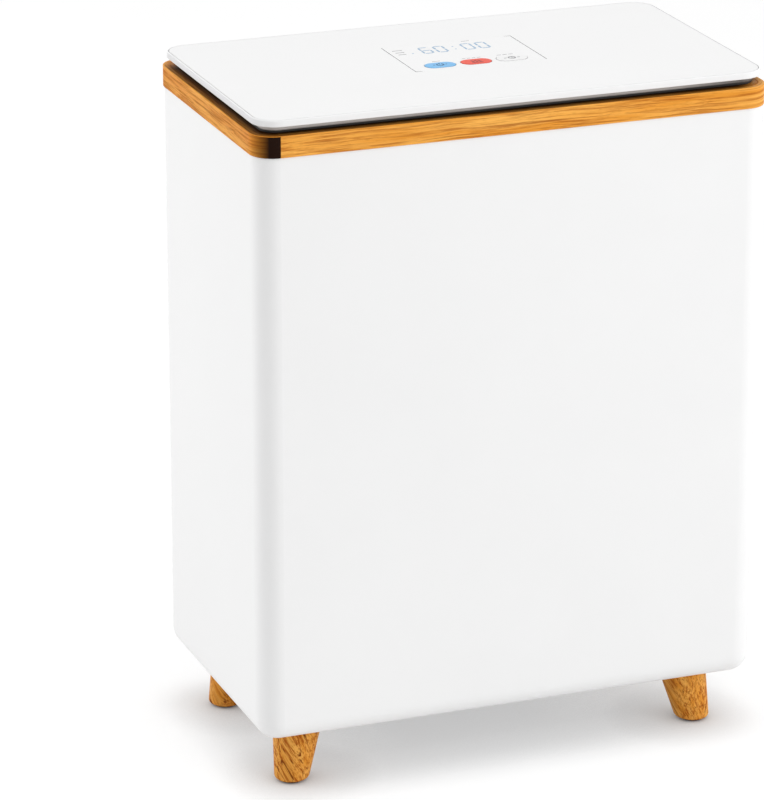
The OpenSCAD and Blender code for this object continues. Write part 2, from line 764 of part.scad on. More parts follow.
module bottom_insulation() {
    color("khaki")
        difference() {
            round_block(bucket_w - 2 * pad_inset, bucket_d - 2 * pad_inset, pad_r,
                bucket_z0 - pad_t, bucket_z0);
            translate([-sensor_win_w / 2, -sensor_win_d / 2, bucket_z0 - pad_t - 1])
                cube([sensor_win_w, sensor_win_d, pad_t + 2]);
        }
}

module thermostat() {
    color("tan") {
        translate([0, 0, bucket_z0 - pad_t])
            cylinder(r = thermostat_r, h = pad_t);
        for (s = [-1, 1])
            translate([0, s * (thermostat_r + tab_len / 2 - tab_root), bucket_z0 - pad_t + tab_up])
                cube([tab_w, tab_len, tab_t], center = true);
    }
}

module thermal_fuse() {
    color("silver")
        translate([fuse_x, -fuse_len / 2, bucket_z0 - fuse_r])
            rotate([-90, 0, 0])
                cylinder(r = fuse_r, h = fuse_len);
}

module temperature_sensor() {
    color("black") {
        translate([-fuse_x, 0, bucket_z0 - sensor_h])
            cylinder(r = sensor_r, h = sensor_h);
        translate([-fuse_x - sensor_tail[0] / 2, sensor_r - 1, bucket_z0 - sensor_h])
            cube(sensor_tail);
    }
}

// The strap that presses the thermostat, the fuse and the sensor to the bucket
module sensor_bracket() {
    z0 = bucket_z0 - pad_t - strap_t;
    color("silver") {
        translate([-strap_len / 2, -strap_w / 2, z0])
            cube([strap_len, strap_w, strap_t]);
        for (s = [-1, 1])
            translate([s > 0 ? strap_len / 2 - strap_t : -strap_len / 2, -strap_w / 2, z0])
                cube([strap_t, strap_w, pad_t + strap_t]);
        for (held = [[fuse_x, 2 * fuse_r], [-fuse_x, sensor_h]])
            translate([held[0] - strap_pad_w / 2, -strap_w / 2, z0])
                cube([strap_pad_w, strap_w, strap_t + pad_t - held[1]]);
    }
}

module power_board() {
    color("darkgreen")
        difference() {
            translate([-board_w / 2, -board_d / 2, board_z0])
                cube([board_w, board_d, board_t]);
            posts(board_spots, board_hole_r, board_z0 - 1, board_z1 + 1);
        }
}

// The tall parts that stand on the power board
module board_components() {
    color("dimgray") {
        translate([relay_at[0], relay_at[1], board_z1])
            cube(relay);
        translate([transformer_at[0], transformer_at[1], board_z1])
            cube(transformer);
        translate([board_w / 2 - terminal_edge - terminal[0], board_d / 2 - 1 - terminal[1], board_z1])
            cube(terminal);
        translate([-board_w / 2 + terminal_edge, 0, board_z1])
            cube(terminal);
        translate([-plug_row[0] / 2, board_d / 2 - plug_edge - plug_row[1], board_z1])
            cube(plug_row);
        for (x = capacitor_xs)
            translate([x, capacitor_y, board_z1])
                cylinder(r = capacitor_r, h = capacitor_h);
    }
}

module board_screws() {
    color("silver")
        screws(board_spots, board_z1, 1, pilot_r, board_screw_len, board_head_r, board_head_t);
}

// The outline of a three-pin inlet's socket, with two corners cut off
module socket_outline(w, h, cut) {
    polygon([[-w / 2, -h / 2], [w / 2, -h / 2], [w / 2, h / 2 - cut], [w / 2 - cut, h / 2],
        [-w / 2 + cut, h / 2], [-w / 2, h / 2 - cut]]);
}

module power_inlet() {
    color("black")
        difference() {
            union() {
                translate([inlet_x - inlet_w / 2, inlet_y0, inlet_z - inlet_h / 2])
                    cube([inlet_w, inlet_y1 - inlet_y0, inlet_h]);
                translate([inlet_x - inlet_w / 2 - inlet_lip, body_d / 2, inlet_z - inlet_h / 2 - inlet_lip])
                    cube([inlet_w + 2 * inlet_lip, inlet_rim, inlet_h + 2 * inlet_lip]);
            }
            translate([inlet_x, inlet_y1 + 1, inlet_z])
                rotate([90, 0, 0])
                    linear_extrude(socket_depth + 1)
                        socket_outline(socket_w, socket_h, inlet_chamfer);
            for (b = blade_spots)
                translate([inlet_x + b[0] - blade_w / 2, inlet_y0 - 1, inlet_z + b[1] - blade_h / 2])
                    cube([blade_w, inlet_back + 2, blade_h]);
        }
}

module inlet_blades() {
    color("silver")
        for (b = blade_spots)
            translate([inlet_x + b[0] - blade_w / 2, inlet_y0 - blade_tail, inlet_z + b[1] - blade_h / 2])
                cube([blade_w, blade_tail + inlet_back + blade_len, blade_h]);
}

module mains_leads() {
    color("black")
        lead(mains_route, mains_r);
}

module heater_leads() {
    color("white")
        lead(heater_route, heater_r);
}

module signal_harness() {
    color("gray")
        lead(signal_route, signal_r);
}

// One splayed wooden foot, for the corner at [side, end]
module foot(side, end) {
    mirror([side < 0 ? 1 : 0, 0, 0])
        mirror([0, end < 0 ? 1 : 0, 0])
            difference() {
                intersection() {
                    translate([foot_x, foot_y, foot_h])
                        rotate([0, 0, foot_turn])
                            rotate([0, 180 - foot_lean, 0])
                                translate([0, 0, -foot_over])
                                    cylinder(r1 = foot_top_r - foot_slope * foot_over,
                                        r2 = foot_end_r + foot_slope * foot_over,
                                        h = foot_axis_len + 2 * foot_over, $fn = 64);
                    translate([0, 0, foot_pad_t])
                        cube([body_w, body_d, foot_len_z]);
                }
                translate([foot_x, foot_y, foot_h - stud_in_wood])
                    cylinder(r = stud_r, h = stud_in_wood + 1);
            }
}

module foot_front_left() {
    color("peru")
        foot(-1, -1);
}

module foot_front_right() {
    color("peru")
        foot(1, -1);
}

module foot_rear_left() {
    color("peru")
        foot(-1, 1);
}

module foot_rear_right() {
    color("peru")
        foot(1, 1);
}

module foot_studs() {
    color("silver")
        for (c = corners)
            translate([c[0] * foot_x, c[1] * foot_y, foot_h - stud_in_wood])
                cylinder(r = stud_r, h = stud_in_wood + insert_lift + insert_h);
}

module foot_inserts() {
    color("goldenrod")
        for (c = corners)
            translate([c[0] * foot_x, c[1] * foot_y, foot_h + insert_lift])
                difference() {
                    cylinder(r = stud_r + insert_wall, h = insert_h);
                    translate([0, 0, -1])
                        cylinder(r = stud_r, h = insert_h + 2);
                }
}

module foot_pads() {
    color("black")
        for (c = corners)
            translate([c[0] * (foot_x + splay_x), c[1] * (foot_y + splay_y), 0])
                cylinder(r = foot_pad_r, h = foot_pad_t);
}

// A knuckle along X, from x0 to x1
module knuckle(x0, x1, bore_r) {
    translate([x0, axis_y, axis_z])
        rotate([0, 90, 0])
            difference() {
                cylinder(r = barrel_r, h = x1 - x0, $fn = 32);
                translate([0, 0, -1])
                    cylinder(r = bore_r, h = x1 - x0 + 2, $fn = 32);
            }
}

// The hinge's leaf on the ring, with the two outer knuckles
module hinge_base(side) {
    color("silver")
        translate([side * hinge_x, 0, 0]) {
            difference() {
                translate([-hinge_len / 2, leaf_y0, ring_z1 - leaf_t])
                    cube([hinge_len, leaf_y1 - leaf_y0, leaf_t]);
                posts([for (k = [-1, 1]) [k * hinge_screw_x, base_screw_y]], hinge_hole_r,
                    ring_z1 - leaf_t - 1, ring_z1 + 1);
            }
            for (k = [-1, 1]) {
                x0 = k > 0 ? knuckle_mid / 2 + knuckle_gap : -hinge_len / 2;
                x1 = k > 0 ? hinge_len / 2 : -knuckle_mid / 2 - knuckle_gap;
                knuckle(x0, x1, pin_r);
                difference() {
                    translate([x0, axis_y - leaf_web / 2, ring_z1 - eps])
                        cube([x1 - x0, leaf_web, axis_z - ring_z1]);
                    translate([x0 - 1, axis_y, axis_z])
                        rotate([0, 90, 0])
                            cylinder(r = barrel_r - web_lap, h = x1 - x0 + 2, $fn = 32);
                }
            }
        }
}

module hinge_base_left() {
    hinge_base(-1);
}

module hinge_base_right() {
    hinge_base(1);
}

module hinge_pins() {
    color("silver")
        for (s = hinge_sides)
            translate([s * hinge_x - hinge_len / 2, axis_y, axis_z])
                rotate([0, 90, 0])
                    cylinder(r = pin_r, h = hinge_len, $fn = 32);
}

module hinge_base_screws() {
    color("silver")
        screws(base_screw_spots, ring_z1, 1, hinge_hole_r, base_screw_len, hinge_head_r, hinge_head_t);
}

// The white plate on top, with the panel's seat and the posts underneath
module lid_plate() {
    color("white")
        difference() {
            union() {
                round_block(body_w - 2 * lid_inset, body_d - 2 * lid_inset, lid_r, lid_z0, lid_z1);
                posts(neck_posts, post_r, neck_floor_z1, lid_z0 + eps);
                posts(control_spots, control_post_r, control_z1, lid_z0 + eps);
            }
            translate([panel_x - panel_w / 2, panel_y - panel_d / 2, panel_z0])
                cube([panel_w, panel_d, panel_t + 1]);
            translate([panel_x - well_w / 2, panel_y - well_d / 2, lid_z0 - 1])
                cube([well_w, well_d, lid_t + 2]);
            posts(neck_posts, neck_pilot_r, neck_floor_z1 - 1, neck_z0 + neck_screw_len + 1);
            posts(control_spots, control_pilot_r, control_z1 - 1, control_z0 + control_screw_len + 0.5);
            posts(lid_screw_spots, hinge_hole_r, lid_z0 - 1, lid_z0 - leaf_t + lid_screw_len);
        }
}

// The dark tray under the plate, with a skirt over the ring that is open at the hinges
module lid_neck() {
    color("black")
        difference() {
            union() {
                round_block(neck_w, neck_d, neck_r, neck_z0, lid_z0);
                intersection() {
                    round_block(skirt_w, skirt_d, skirt_r, ring_z1 + skirt_gap, lid_z0);
                    translate([-skirt_w, skirt_y1 - 2 * skirt_d, ring_z1])
                        cube([2 * skirt_w, 2 * skirt_d, lid_gap]);
                }
            }
            round_block(neck_in_w, neck_in_d, neck_r - neck_wall / 2, neck_floor_z1, lid_z0 + 1);
            posts(neck_posts, neck_hole_r, neck_z0 - 1, neck_floor_z1 + 1);
            translate([0, neck_d / 2 + 1, lid_lead_z])
                rotate([90, 0, 0])
                    cylinder(r = lid_lead_hole_r, h = neck_wall + 2, $fn = 32);
        }
}

module lid_seal() {
    color("gray")
        difference() {
            round_block(seal_out_w, seal_out_d, seal_r, seal_z0, neck_z0);
            round_block(seal_out_w - 2 * seal_w, seal_out_d - 2 * seal_w, seal_r / 2,
                seal_z0 - 1, neck_z0 + 1);
        }
}

module lid_foam() {
    color("lightyellow")
        difference() {
            round_block(neck_in_w - 2 * foam_gap, neck_in_d - 2 * foam_gap, neck_r / 2,
                neck_floor_z1, foam_z1);
            posts(neck_posts, post_r + foam_hole_gap, neck_floor_z1 - 1, foam_z1 + 1);
            posts(control_spots, control_head_r + foam_hole_gap, neck_floor_z1 - 1, foam_z1 + 1);
        }
}

module lid_liner() {
    color("silver")
        difference() {
            round_block(liner_w, liner_d, seal_r / 2, liner_z0, neck_z0);
            posts(neck_posts, neck_hole_r, liner_z0 - 1, neck_z0 + 1);
        }
}

module neck_screws() {
    color("silver")
        screws(neck_posts, liner_z0, -1, neck_pilot_r, neck_screw_len, neck_head_r, neck_head_t);
}

// The hinge's leaf under the lid's plate, with the middle knuckle
module hinge_lid(side) {
    color("silver")
        translate([side * hinge_x, 0, 0]) {
            difference() {
                translate([-hinge_len / 2, lid_leaf_y0, lid_z0 - leaf_t])
                    cube([hinge_len, lid_leaf_y1 - lid_leaf_y0, leaf_t]);
                posts([for (k = [-1, 1]) [k * hinge_screw_x, lid_screw_y]], hinge_hole_r,
                    lid_z0 - leaf_t - 1, lid_z0 + 1);
            }
            knuckle(-knuckle_mid / 2, knuckle_mid / 2, pin_r + pin_fit);
            difference() {
                translate([-knuckle_mid / 2, lid_leaf_y1 - eps, lid_z0 - leaf_t])
                    cube([knuckle_mid, axis_y + 1 - lid_leaf_y1, leaf_t]);
                translate([-knuckle_mid / 2 - 1, axis_y, axis_z])
                    rotate([0, 90, 0])
                        cylinder(r = barrel_r - web_lap, h = knuckle_mid + 2, $fn = 32);
            }
        }
}

module hinge_lid_left() {
    hinge_lid(-1);
}

module hinge_lid_right() {
    hinge_lid(1);
}

module hinge_lid_screws() {
    color("silver")
        screws(lid_screw_spots, lid_z0 - leaf_t, -1, hinge_hole_r, lid_screw_len, hinge_head_r, hinge_head_t);
}

// An oval, straight in the middle, w long and d deep
module oval(w, d) {
    square([w - d, d], center = true);
    for (s = [-1, 1])
        translate([s * (w - d) / 2, 0])
            circle(d / 2);
}

// One segment of a digit: a bar with pointed ends, along X when turned is 0
module segment(len, turned, grow) {
    h = segment_w / 2 + grow;
    e = len / 2 - segment_split + grow;
    rotate([0, 0, turned])
        polygon([[-e, 0], [-e + h, h], [e - h, h], [e, 0], [e - h, -h], [-e + h, -h]]);
}

// Those segments of one digit whose flag is as wanted
module digit(flags, want, grow) {
    x = (digit_w - segment_w) / 2;
    y = (digit_h - segment_w) / 2;
    places = [[0, y, 0], [x, y / 2, 90], [x, -y / 2, 90], [0, 0, 0], [-x, y / 2, 90], [-x, -y / 2, 90],
        [0, -y, 0]];
    for (i = [0:6])
        if (flags[i] == want)
            translate([places[i][0], places[i][1]])
                segment(places[i][2] == 0 ? 2 * x : y, places[i][2], grow);
}

module light_guides(want, grow) {
    for (i = [0:3])
        translate([digit_xs[i], digit_y])
            digit(digit_lit[i], want, grow);
}

module small_guides(grow) {
    for (s = [-1, 1])
        translate([colon_x, digit_y + s * colon_dy])
            circle(colon_r + grow, $fn = 24);
    translate([digit_xs[0] + lamp_dx, digit_y + lamp_dy])
        circle(lamp_r + grow, $fn = 24);
}

function key_x(i) = key_x0 + i * key_pitch;

// The panel that is set into the lid, pierced for the keys and the digits
module control_panel() {
    color("white")
        difference() {
            translate([panel_x, panel_y, panel_z0])
                linear_extrude(panel_t)
                    square([panel_w - 2 * panel_side_gap, panel_d - 2 * panel_end_gap], center = true);
            for (i = key_order)
                translate([key_x(i), key_y, panel_z0 - 1])
                    linear_extrude(panel_t + 2)
                        oval(key_w + 2 * key_gap, key_d + 2 * key_gap);
            translate([0, 0, panel_z0 - 1])
                linear_extrude(panel_t + 2) {
                    light_guides(1, segment_fit);
                    light_guides(0, segment_fit);
                    small_guides(segment_fit);
                }
        }
}

module display_module() {
    color("white")
        translate([display_x0, digit_y - digit_h / 2 - display_rim / 2, control_z1])
            cube([display_x1 - display_x0, digit_h + display_rim, display_top - control_z1]);
}

module segments_lit() {
    color("skyblue")
        translate([0, 0, display_top])
            linear_extrude(lid_z1 - display_top) {
                light_guides(1, 0);
                small_guides(0);
            }
}

module segments_unlit() {
    color("white")
        translate([0, 0, display_top])
            linear_extrude(lid_z1 - display_top)
                light_guides(0, 0);
}

module control_board() {
    color("darkgreen")
        difference() {
            translate([panel_x - control_w / 2, panel_y - control_d / 2, control_z0])
                cube([control_w, control_d, board_t]);
            posts(control_spots, control_hole_r, control_z0 - 1, control_z1 + 1);
        }
}

module control_screws() {
    color("silver")
        screws(control_spots, control_z0, -1, control_pilot_r, control_screw_len, control_head_r,
            control_head_t);
}

// The three push switches, each with a well for its key's stem
module key_switches() {
    color("dimgray")
        for (i = key_order)
            translate([key_x(i), key_y, control_z1])
                difference() {
                    translate([-switch_w / 2, -switch_w / 2, 0])
                        cube([switch_w, switch_w, switch_h]);
                    translate([0, 0, switch_floor])
                        cylinder(r = switch_bore_r, h = switch_h, $fn = 32);
                }
}

module lid_harness() {
    color("gray")
        lead(lid_route, lid_lead_r);
}

// One oval key with its flange and stem
module key(i) {
    translate([key_x(i), key_y, 0]) {
        translate([0, 0, key_flange_z1 - key_flange_t])
            linear_extrude(lid_z1 + key_proud - key_flange_z1 + key_flange_t)
                oval(key_w, key_d);
        translate([0, 0, key_flange_z1 - key_flange_t])
            linear_extrude(key_flange_t)
                oval(key_w + 2 * (key_gap + key_flange), key_d + 2 * (key_gap + key_flange));
        translate([0, 0, stem_z0])
            cylinder(r = stem_r, h = key_flange_z1 - stem_z0, $fn = 32);
    }
}

module blue_key() {
    color("steelblue")
        key(0);
}

module red_key() {
    color("indianred")
        key(1);
}

module white_key() {
    color("white")
        key(2);
}

outer_shell();
bottom_cover();
cover_screws();
top_frame();
frame_screws();
wood_ring();
ring_screws();
inner_bucket();
heating_film();
insulation_wrap();
bottom_insulation();
thermostat();
thermal_fuse();
temperature_sensor();
sensor_bracket();
power_board();
board_components();
board_screws();
power_inlet();
inlet_blades();
mains_leads();
heater_leads();
signal_harness();
foot_front_left();
foot_front_right();
foot_rear_left();
foot_rear_right();
foot_studs();
foot_inserts();
foot_pads();
hinge_base_left();
hinge_base_right();
hinge_pins();
hinge_base_screws();
lid_plate();
lid_neck();
lid_seal();
lid_foam();
lid_liner();
neck_screws();
hinge_lid_left();
hinge_lid_right();
hinge_lid_screws();
control_panel();
display_module();
segments_lit();
segments_unlit();
control_board();
control_screws();
key_switches();
lid_harness();
blue_key();
red_key();
white_key();
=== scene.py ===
"""Towel warmer: the looks of the bucket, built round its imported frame.

Sizes in the code are millimetres in the frame's own axes, and each mesh is made in metres.
"""
import math

import bmesh
import bpy
from bpy.props import FloatProperty, FloatVectorProperty, PointerProperty
from mathutils import Matrix, Vector


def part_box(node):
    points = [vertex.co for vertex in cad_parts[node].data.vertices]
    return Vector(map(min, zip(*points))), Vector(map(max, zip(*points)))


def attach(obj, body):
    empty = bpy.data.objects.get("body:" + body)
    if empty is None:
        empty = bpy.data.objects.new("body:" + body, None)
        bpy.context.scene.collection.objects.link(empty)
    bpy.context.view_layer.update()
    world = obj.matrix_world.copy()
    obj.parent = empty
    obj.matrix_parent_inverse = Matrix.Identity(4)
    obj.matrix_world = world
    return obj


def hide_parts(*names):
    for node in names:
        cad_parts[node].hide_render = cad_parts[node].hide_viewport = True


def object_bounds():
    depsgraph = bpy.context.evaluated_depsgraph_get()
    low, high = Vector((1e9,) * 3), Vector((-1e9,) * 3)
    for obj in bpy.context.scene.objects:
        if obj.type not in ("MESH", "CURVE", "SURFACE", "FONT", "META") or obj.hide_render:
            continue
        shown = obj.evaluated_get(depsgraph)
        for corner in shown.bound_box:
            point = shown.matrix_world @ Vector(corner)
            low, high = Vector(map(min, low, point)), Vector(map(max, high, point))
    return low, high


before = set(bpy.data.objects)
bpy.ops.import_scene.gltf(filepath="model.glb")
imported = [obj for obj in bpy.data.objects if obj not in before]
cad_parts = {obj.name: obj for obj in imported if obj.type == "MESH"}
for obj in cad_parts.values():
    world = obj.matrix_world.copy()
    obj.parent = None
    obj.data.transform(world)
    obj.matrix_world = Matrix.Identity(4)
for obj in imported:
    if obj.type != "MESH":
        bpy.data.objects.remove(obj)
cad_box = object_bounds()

bl_info = {
    "name": "Towel warmer bucket",
    "version": (1, 0, 0),
    "blender": (4, 5, 0),
    "location": "3D View > Sidebar > Towel warmer",
    "description": "Builds the visible pieces of a towel warmer bucket round its packed frame",
    "category": "Add Mesh",
}

MM = 0.001


def span(node):
    """The lowest and highest corner of a CAD node, in millimetres."""
    low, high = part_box(node)
    return low / MM, high / MM


SHELL_LOW, SHELL_HIGH = span("outer_shell")
RING_LOW, RING_HIGH = span("wood_ring")
PLATE_LOW, PLATE_HIGH = span("lid_plate")
NECK_LOW, NECK_HIGH = span("lid_neck")
BUCKET_LOW, BUCKET_HIGH = span("inner_bucket")
PANEL_LOW, PANEL_HIGH = span("control_panel")
COVER_LOW, COVER_HIGH = span("bottom_cover")
PLATE_UNDER = NECK_HIGH.z


# Sizes and colours that a user would change

class CabinetSettings(bpy.types.PropertyGroup):
    colour: FloatVectorProperty(
        name="Colour", description="Colour of the cabinet and the lid", subtype="COLOR",
        size=3, min=0, max=1, default=(0.90, 0.90, 0.90))
    corner: FloatProperty(
        name="Corner radius", description="Radius of the upright edges, in millimetres",
        default=17, min=14, max=22)
    lower: FloatProperty(
        name="Lower radius", description="Radius of the edges round the underside, in millimetres",
        default=15, min=8, max=16)
    wall: FloatProperty(
        name="Wall", description="Thickness of the cabinet's wall, in millimetres", default=2.5,
        min=2, max=3.5)
    rim: FloatProperty(
        name="Rim radius", description="Small radius along the cabinet's rim, in millimetres",
        default=0.6, min=0.1, max=1)


class WoodSettings(bpy.types.PropertyGroup):
    light: FloatVectorProperty(
        name="Light grain", description="Colour of the light stripes in the wood",
        subtype="COLOR", size=3, min=0, max=1, default=(0.98, 0.48, 0.095))
    middle: FloatVectorProperty(
        name="Middle grain", description="Main colour of the wood", subtype="COLOR", size=3,
        min=0, max=1, default=(0.83, 0.325, 0.036))
    dark: FloatVectorProperty(
        name="Dark grain", description="Colour of the dark lines in the wood", subtype="COLOR",
        size=3, min=0, max=1, default=(0.30, 0.070, 0.005))
    edge: FloatProperty(
        name="Edge radius", description="Small radius along the ring's edges, in millimetres",
        default=0.35, min=0.1, max=2)
    foot_edge: FloatProperty(
        name="Foot edge radius", description="Radius round a foot's lower edge, in millimetres",
        default=2.8, min=0.2, max=3.5)


class LidSettings(bpy.types.PropertyGroup):
    plate_corner: FloatProperty(
        name="Plate corner radius", description="Corner radius of the plate, in millimetres",
        default=18, min=14, max=24)
    plate_edge: FloatProperty(
        name="Plate edge radius", description="Radius of the plate's upper edge, in millimetres",
        default=0.9, min=0.2, max=2)
    plate_under: FloatProperty(
        name="Plate lower edge radius", description="Radius of the plate's lower edge, in millimetres",
        default=0.6, min=0.2, max=2)
    # The neck's paler tone close under the plate is painted light.
    neck_painted_light: FloatVectorProperty(
        name="Neck's upper tone", description="Colour of the neck close under the plate",
        subtype="COLOR", size=3, min=0, max=1, default=(0.66, 0.64, 0.62))
    neck_black: FloatVectorProperty(
        name="Neck's lower tone", description="Colour of the neck towards the ring",
        subtype="COLOR", size=3, min=0, max=1, default=(0.006, 0.005, 0.005))


class PanelSettings(bpy.types.PropertyGroup):
    blue: FloatVectorProperty(
        name="Blue key", description="Colour of the blue key", subtype="COLOR", size=3, min=0,
        max=1, default=(0.20, 0.50, 0.83))
    red: FloatVectorProperty(
        name="Red key", description="Colour of the red key", subtype="COLOR", size=3, min=0,
        max=1, default=(0.84, 0.095, 0.055))
    digit: FloatVectorProperty(
        name="Lit digit", description="Colour of the lit segments", subtype="COLOR", size=3,
        min=0, max=1, default=(0.17, 0.30, 0.44))
    # The side strips are painted shade in the seam round the panel.
    line: FloatVectorProperty(
        name="Side line", description="Colour of the thin strips at the panel's sides",
        subtype="COLOR", size=3, min=0, max=1, default=(0.02, 0.02, 0.02))


class StageSettings(bpy.types.PropertyGroup):
    yaw: FloatProperty(
        name="Yaw", description="How far the camera has turned round the object",
        subtype="ANGLE", default=math.radians(20.78))
    pitch: FloatProperty(
        name="Pitch", description="How far the camera looks down", subtype="ANGLE",
        default=math.radians(19.38))
    distance: FloatProperty(
        name="Distance", description="From the camera to the point it looks at",
        subtype="DISTANCE", unit="LENGTH", default=3.416)
    lens: FloatProperty(
        name="Lens", description="Focal length of the camera, in millimetres", default=202.5)
    target: FloatVectorProperty(
        name="Target", description="The point between the feet's height and the lid that the "
        "camera looks at, with its steps to the right and up", subtype="XYZ", size=3,
        default=(-0.0591, -0.0374, 0.296))
    side_lamp: FloatProperty(
        name="Side lamp", description="Power of the soft lamp at the rear left", default=39)
    right_lamp: FloatProperty(
        name="Right lamp", description="Power of the soft lamp at the right", default=32)
    front_lamp: FloatProperty(
        name="Front lamp", description="Power of the soft lamp at the front", default=20)
    top_lamp: FloatProperty(
        name="Top lamp", description="Power of the soft lamp overhead", default=24.5)
    sky: FloatProperty(
        name="Sky", description="Strength of the even light from all round", default=0.585)


SETTINGS = {
    "cabinet_settings": CabinetSettings,
    "wood_settings": WoodSettings,
    "lid_settings": LidSettings,
    "panel_settings": PanelSettings,
    "stage_settings": StageSettings,
}


# Outlines and meshes

def box_outline(w, d, r, z, at=(0, 0), n=10, guard=0.5):
    """Points round a rectangle with round corners, anticlockwise, with a point close beside each corner."""
    r = max(min(r, w / 2, d / 2), 0.02)
    points = []
    for k, (sx, sy) in enumerate(((1, -1), (1, 1), (-1, 1), (-1, -1))):
        middle = Vector((at[0] + sx * (w / 2 - r), at[1] + sy * (d / 2 - r), z))
        start = math.radians(90 * k - 90)
        room = (d if k % 2 else w) / 2 - r
        beside = min(guard, room / 2)
        turned = (w if k % 2 else d) / 2 - r
        after = min(guard, turned / 2)
        for i in range(n + 1):
            a = start + math.pi / 2 * i / n
            spot = middle + r * Vector((math.cos(a), math.sin(a), 0))
            along = Vector((-math.sin(a), math.cos(a), 0))
            if i == 0:
                points.append(spot - beside * along)
            points.append(spot)
            if i == n:
                points.append(spot + after * along)
    return points


def level(w, d, r, z, inset=0.0, **more):
    """One outline of a body that is w by d, drawn in by an inset."""
    return box_outline(w - 2 * inset, d - 2 * inset, r - inset, z, **more)


def edge_round(w, d, r, inset, z, radius, start, end, steps=5, **more):
    """Outlines round an edge, from one angle to another: -90 is down, 0 outward, 90 up, 180 inward."""
    made = []
    for i in range(steps + 1):
        a = math.radians(start + (end - start) * i / steps)
        made.append(level(w, d, r, z + radius * math.sin(a), inset - radius * math.cos(a), **more))
    return made


def circle(r, z, at=(0, 0), n=48):
    """Points round a circle."""
    return [Vector((at[0] + r * math.cos(2 * math.pi * i / n),
                    at[1] + r * math.sin(2 * math.pi * i / n), z)) for i in range(n)]


def skin(levels, closed=False):
    """Vertices and faces of a body whose outlines follow one another, capped unless it closes on itself."""
    n = len(levels[0])
    points = [p for outline in levels for p in outline]
    faces = []
    last = len(levels) if closed else len(levels) - 1
    for j in range(last):
        a, b = j * n, (j + 1) % len(levels) * n
        for i in range(n):
            k = (i + 1) % n
            faces.append((a + i, a + k, b + k, b + i))
    if not closed:
        faces.append(tuple(reversed(range(n))))
        faces.append(tuple(range((len(levels) - 1) * n, len(levels) * n)))
    return points, faces


def block(w, d, r, z0, z1, low=0.0, high=0.0, **more):
    """A closed block with round corners and, where asked, round lower and upper edges."""
    levels = []
    if low:
        levels += edge_round(w, d, r, low, z0 + low, low, -90, 0, **more)
    else:
        levels.append(level(w, d, r, z0, **more))
    if high:
        levels += edge_round(w, d, r, high, z1 - high, high, 0, 90, **more)
    else:
        levels.append(level(w, d, r, z1, **more))
    return skin(levels)


def rod(r, z0, z1, at=(0, 0), n=32):
    """A closed upright cylinder."""
    return skin([circle(r, z0, at, n), circle(r, z1, at, n)])


def joined(parts):
    """Several closed bodies as one list of points and one of faces."""
    points, faces = [], []
    for some_points, some_faces in parts:
        base = len(points)
        points += some_points
        faces += [tuple(base + i for i in f) for f in some_faces]
    return points, faces


def turned(part, matrix):
    """A body moved by a matrix."""
    points, faces = part
    return [matrix @ p for p in points], faces


def mesh_object(name, part, sharp=35.0):
    """An object from points in millimetres, smooth except at edges that turn by more than sharp degrees."""
    points, faces = part
    mesh = bpy.data.meshes.new(name)
    mesh.from_pydata([p * MM for p in points], [], faces)
    made = bpy.data.objects.new(name, mesh)
    bpy.context.scene.collection.objects.link(made)
    clean(made, sharp)
    return made


def clean(made, sharp=35.0):
    """Merges double points, turns the faces outward, and marks smooth faces and sharp edges."""
    bm = bmesh.new()
    bm.from_mesh(made.data)
    bmesh.ops.remove_doubles(bm, verts=bm.verts, dist=2e-6)
    bmesh.ops.dissolve_degenerate(bm, dist=1e-6, edges=bm.edges)
    bmesh.ops.recalc_face_normals(bm, faces=bm.faces)
    for face in bm.faces:
        face.smooth = True
    for edge in bm.edges:
        edge.smooth = not (edge.is_manifold and edge.calc_face_angle(0) > math.radians(sharp))
    bm.to_mesh(made.data)
    bm.free()


def settle(made):
    """Applies the modifiers that an object has."""
    graph = bpy.context.evaluated_depsgraph_get()
    mesh = bpy.data.meshes.new_from_object(made.evaluated_get(graph), depsgraph=graph)
    old = made.data
    made.modifiers.clear()
    made.data = mesh
    bpy.data.meshes.remove(old)
    made.data.name = made.name


def combine(made, tool, way, use_self=False):
    """Cuts the tool's body out of an object, or adds it, and deletes the tool."""
    work = made.modifiers.new("combine", "BOOLEAN")
    work.operation = way
    work.solver = "EXACT"
    work.use_self = use_self
    work.object = tool
    settle(made)
    bpy.data.objects.remove(tool)


def cut(made, parts, way="DIFFERENCE"):
    """Cuts closed bodies out of an object, or adds them to it, and cleans the result."""
    combine(made, mesh_object(made.name + "_tool", joined(parts)), way, way == "UNION")
    clean(made)


def even_shading(made):
    """Lets the large flat faces keep flat normals beside small round edges."""
    work = made.modifiers.new("even", "WEIGHTED_NORMAL")
    work.keep_sharp = True
    work.weight = 80
    settle(made)


def place(made, body, slot, nodes, *materials):
    """Gives a finished piece even shading, its materials and its body, and hides the nodes it stands for. The
    slot is not used.
    """
    even_shading(made)
    for material in materials:
        made.data.materials.append(material)
    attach(made, body)
    if nodes:
        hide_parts(*nodes)
    return made


def dress(material, *nodes):
    """Gives CAD nodes that keep their own shape a material."""
    for node in nodes:
        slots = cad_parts[node].data.materials
        slots.clear()
        slots.append(material)


# Shader nodes

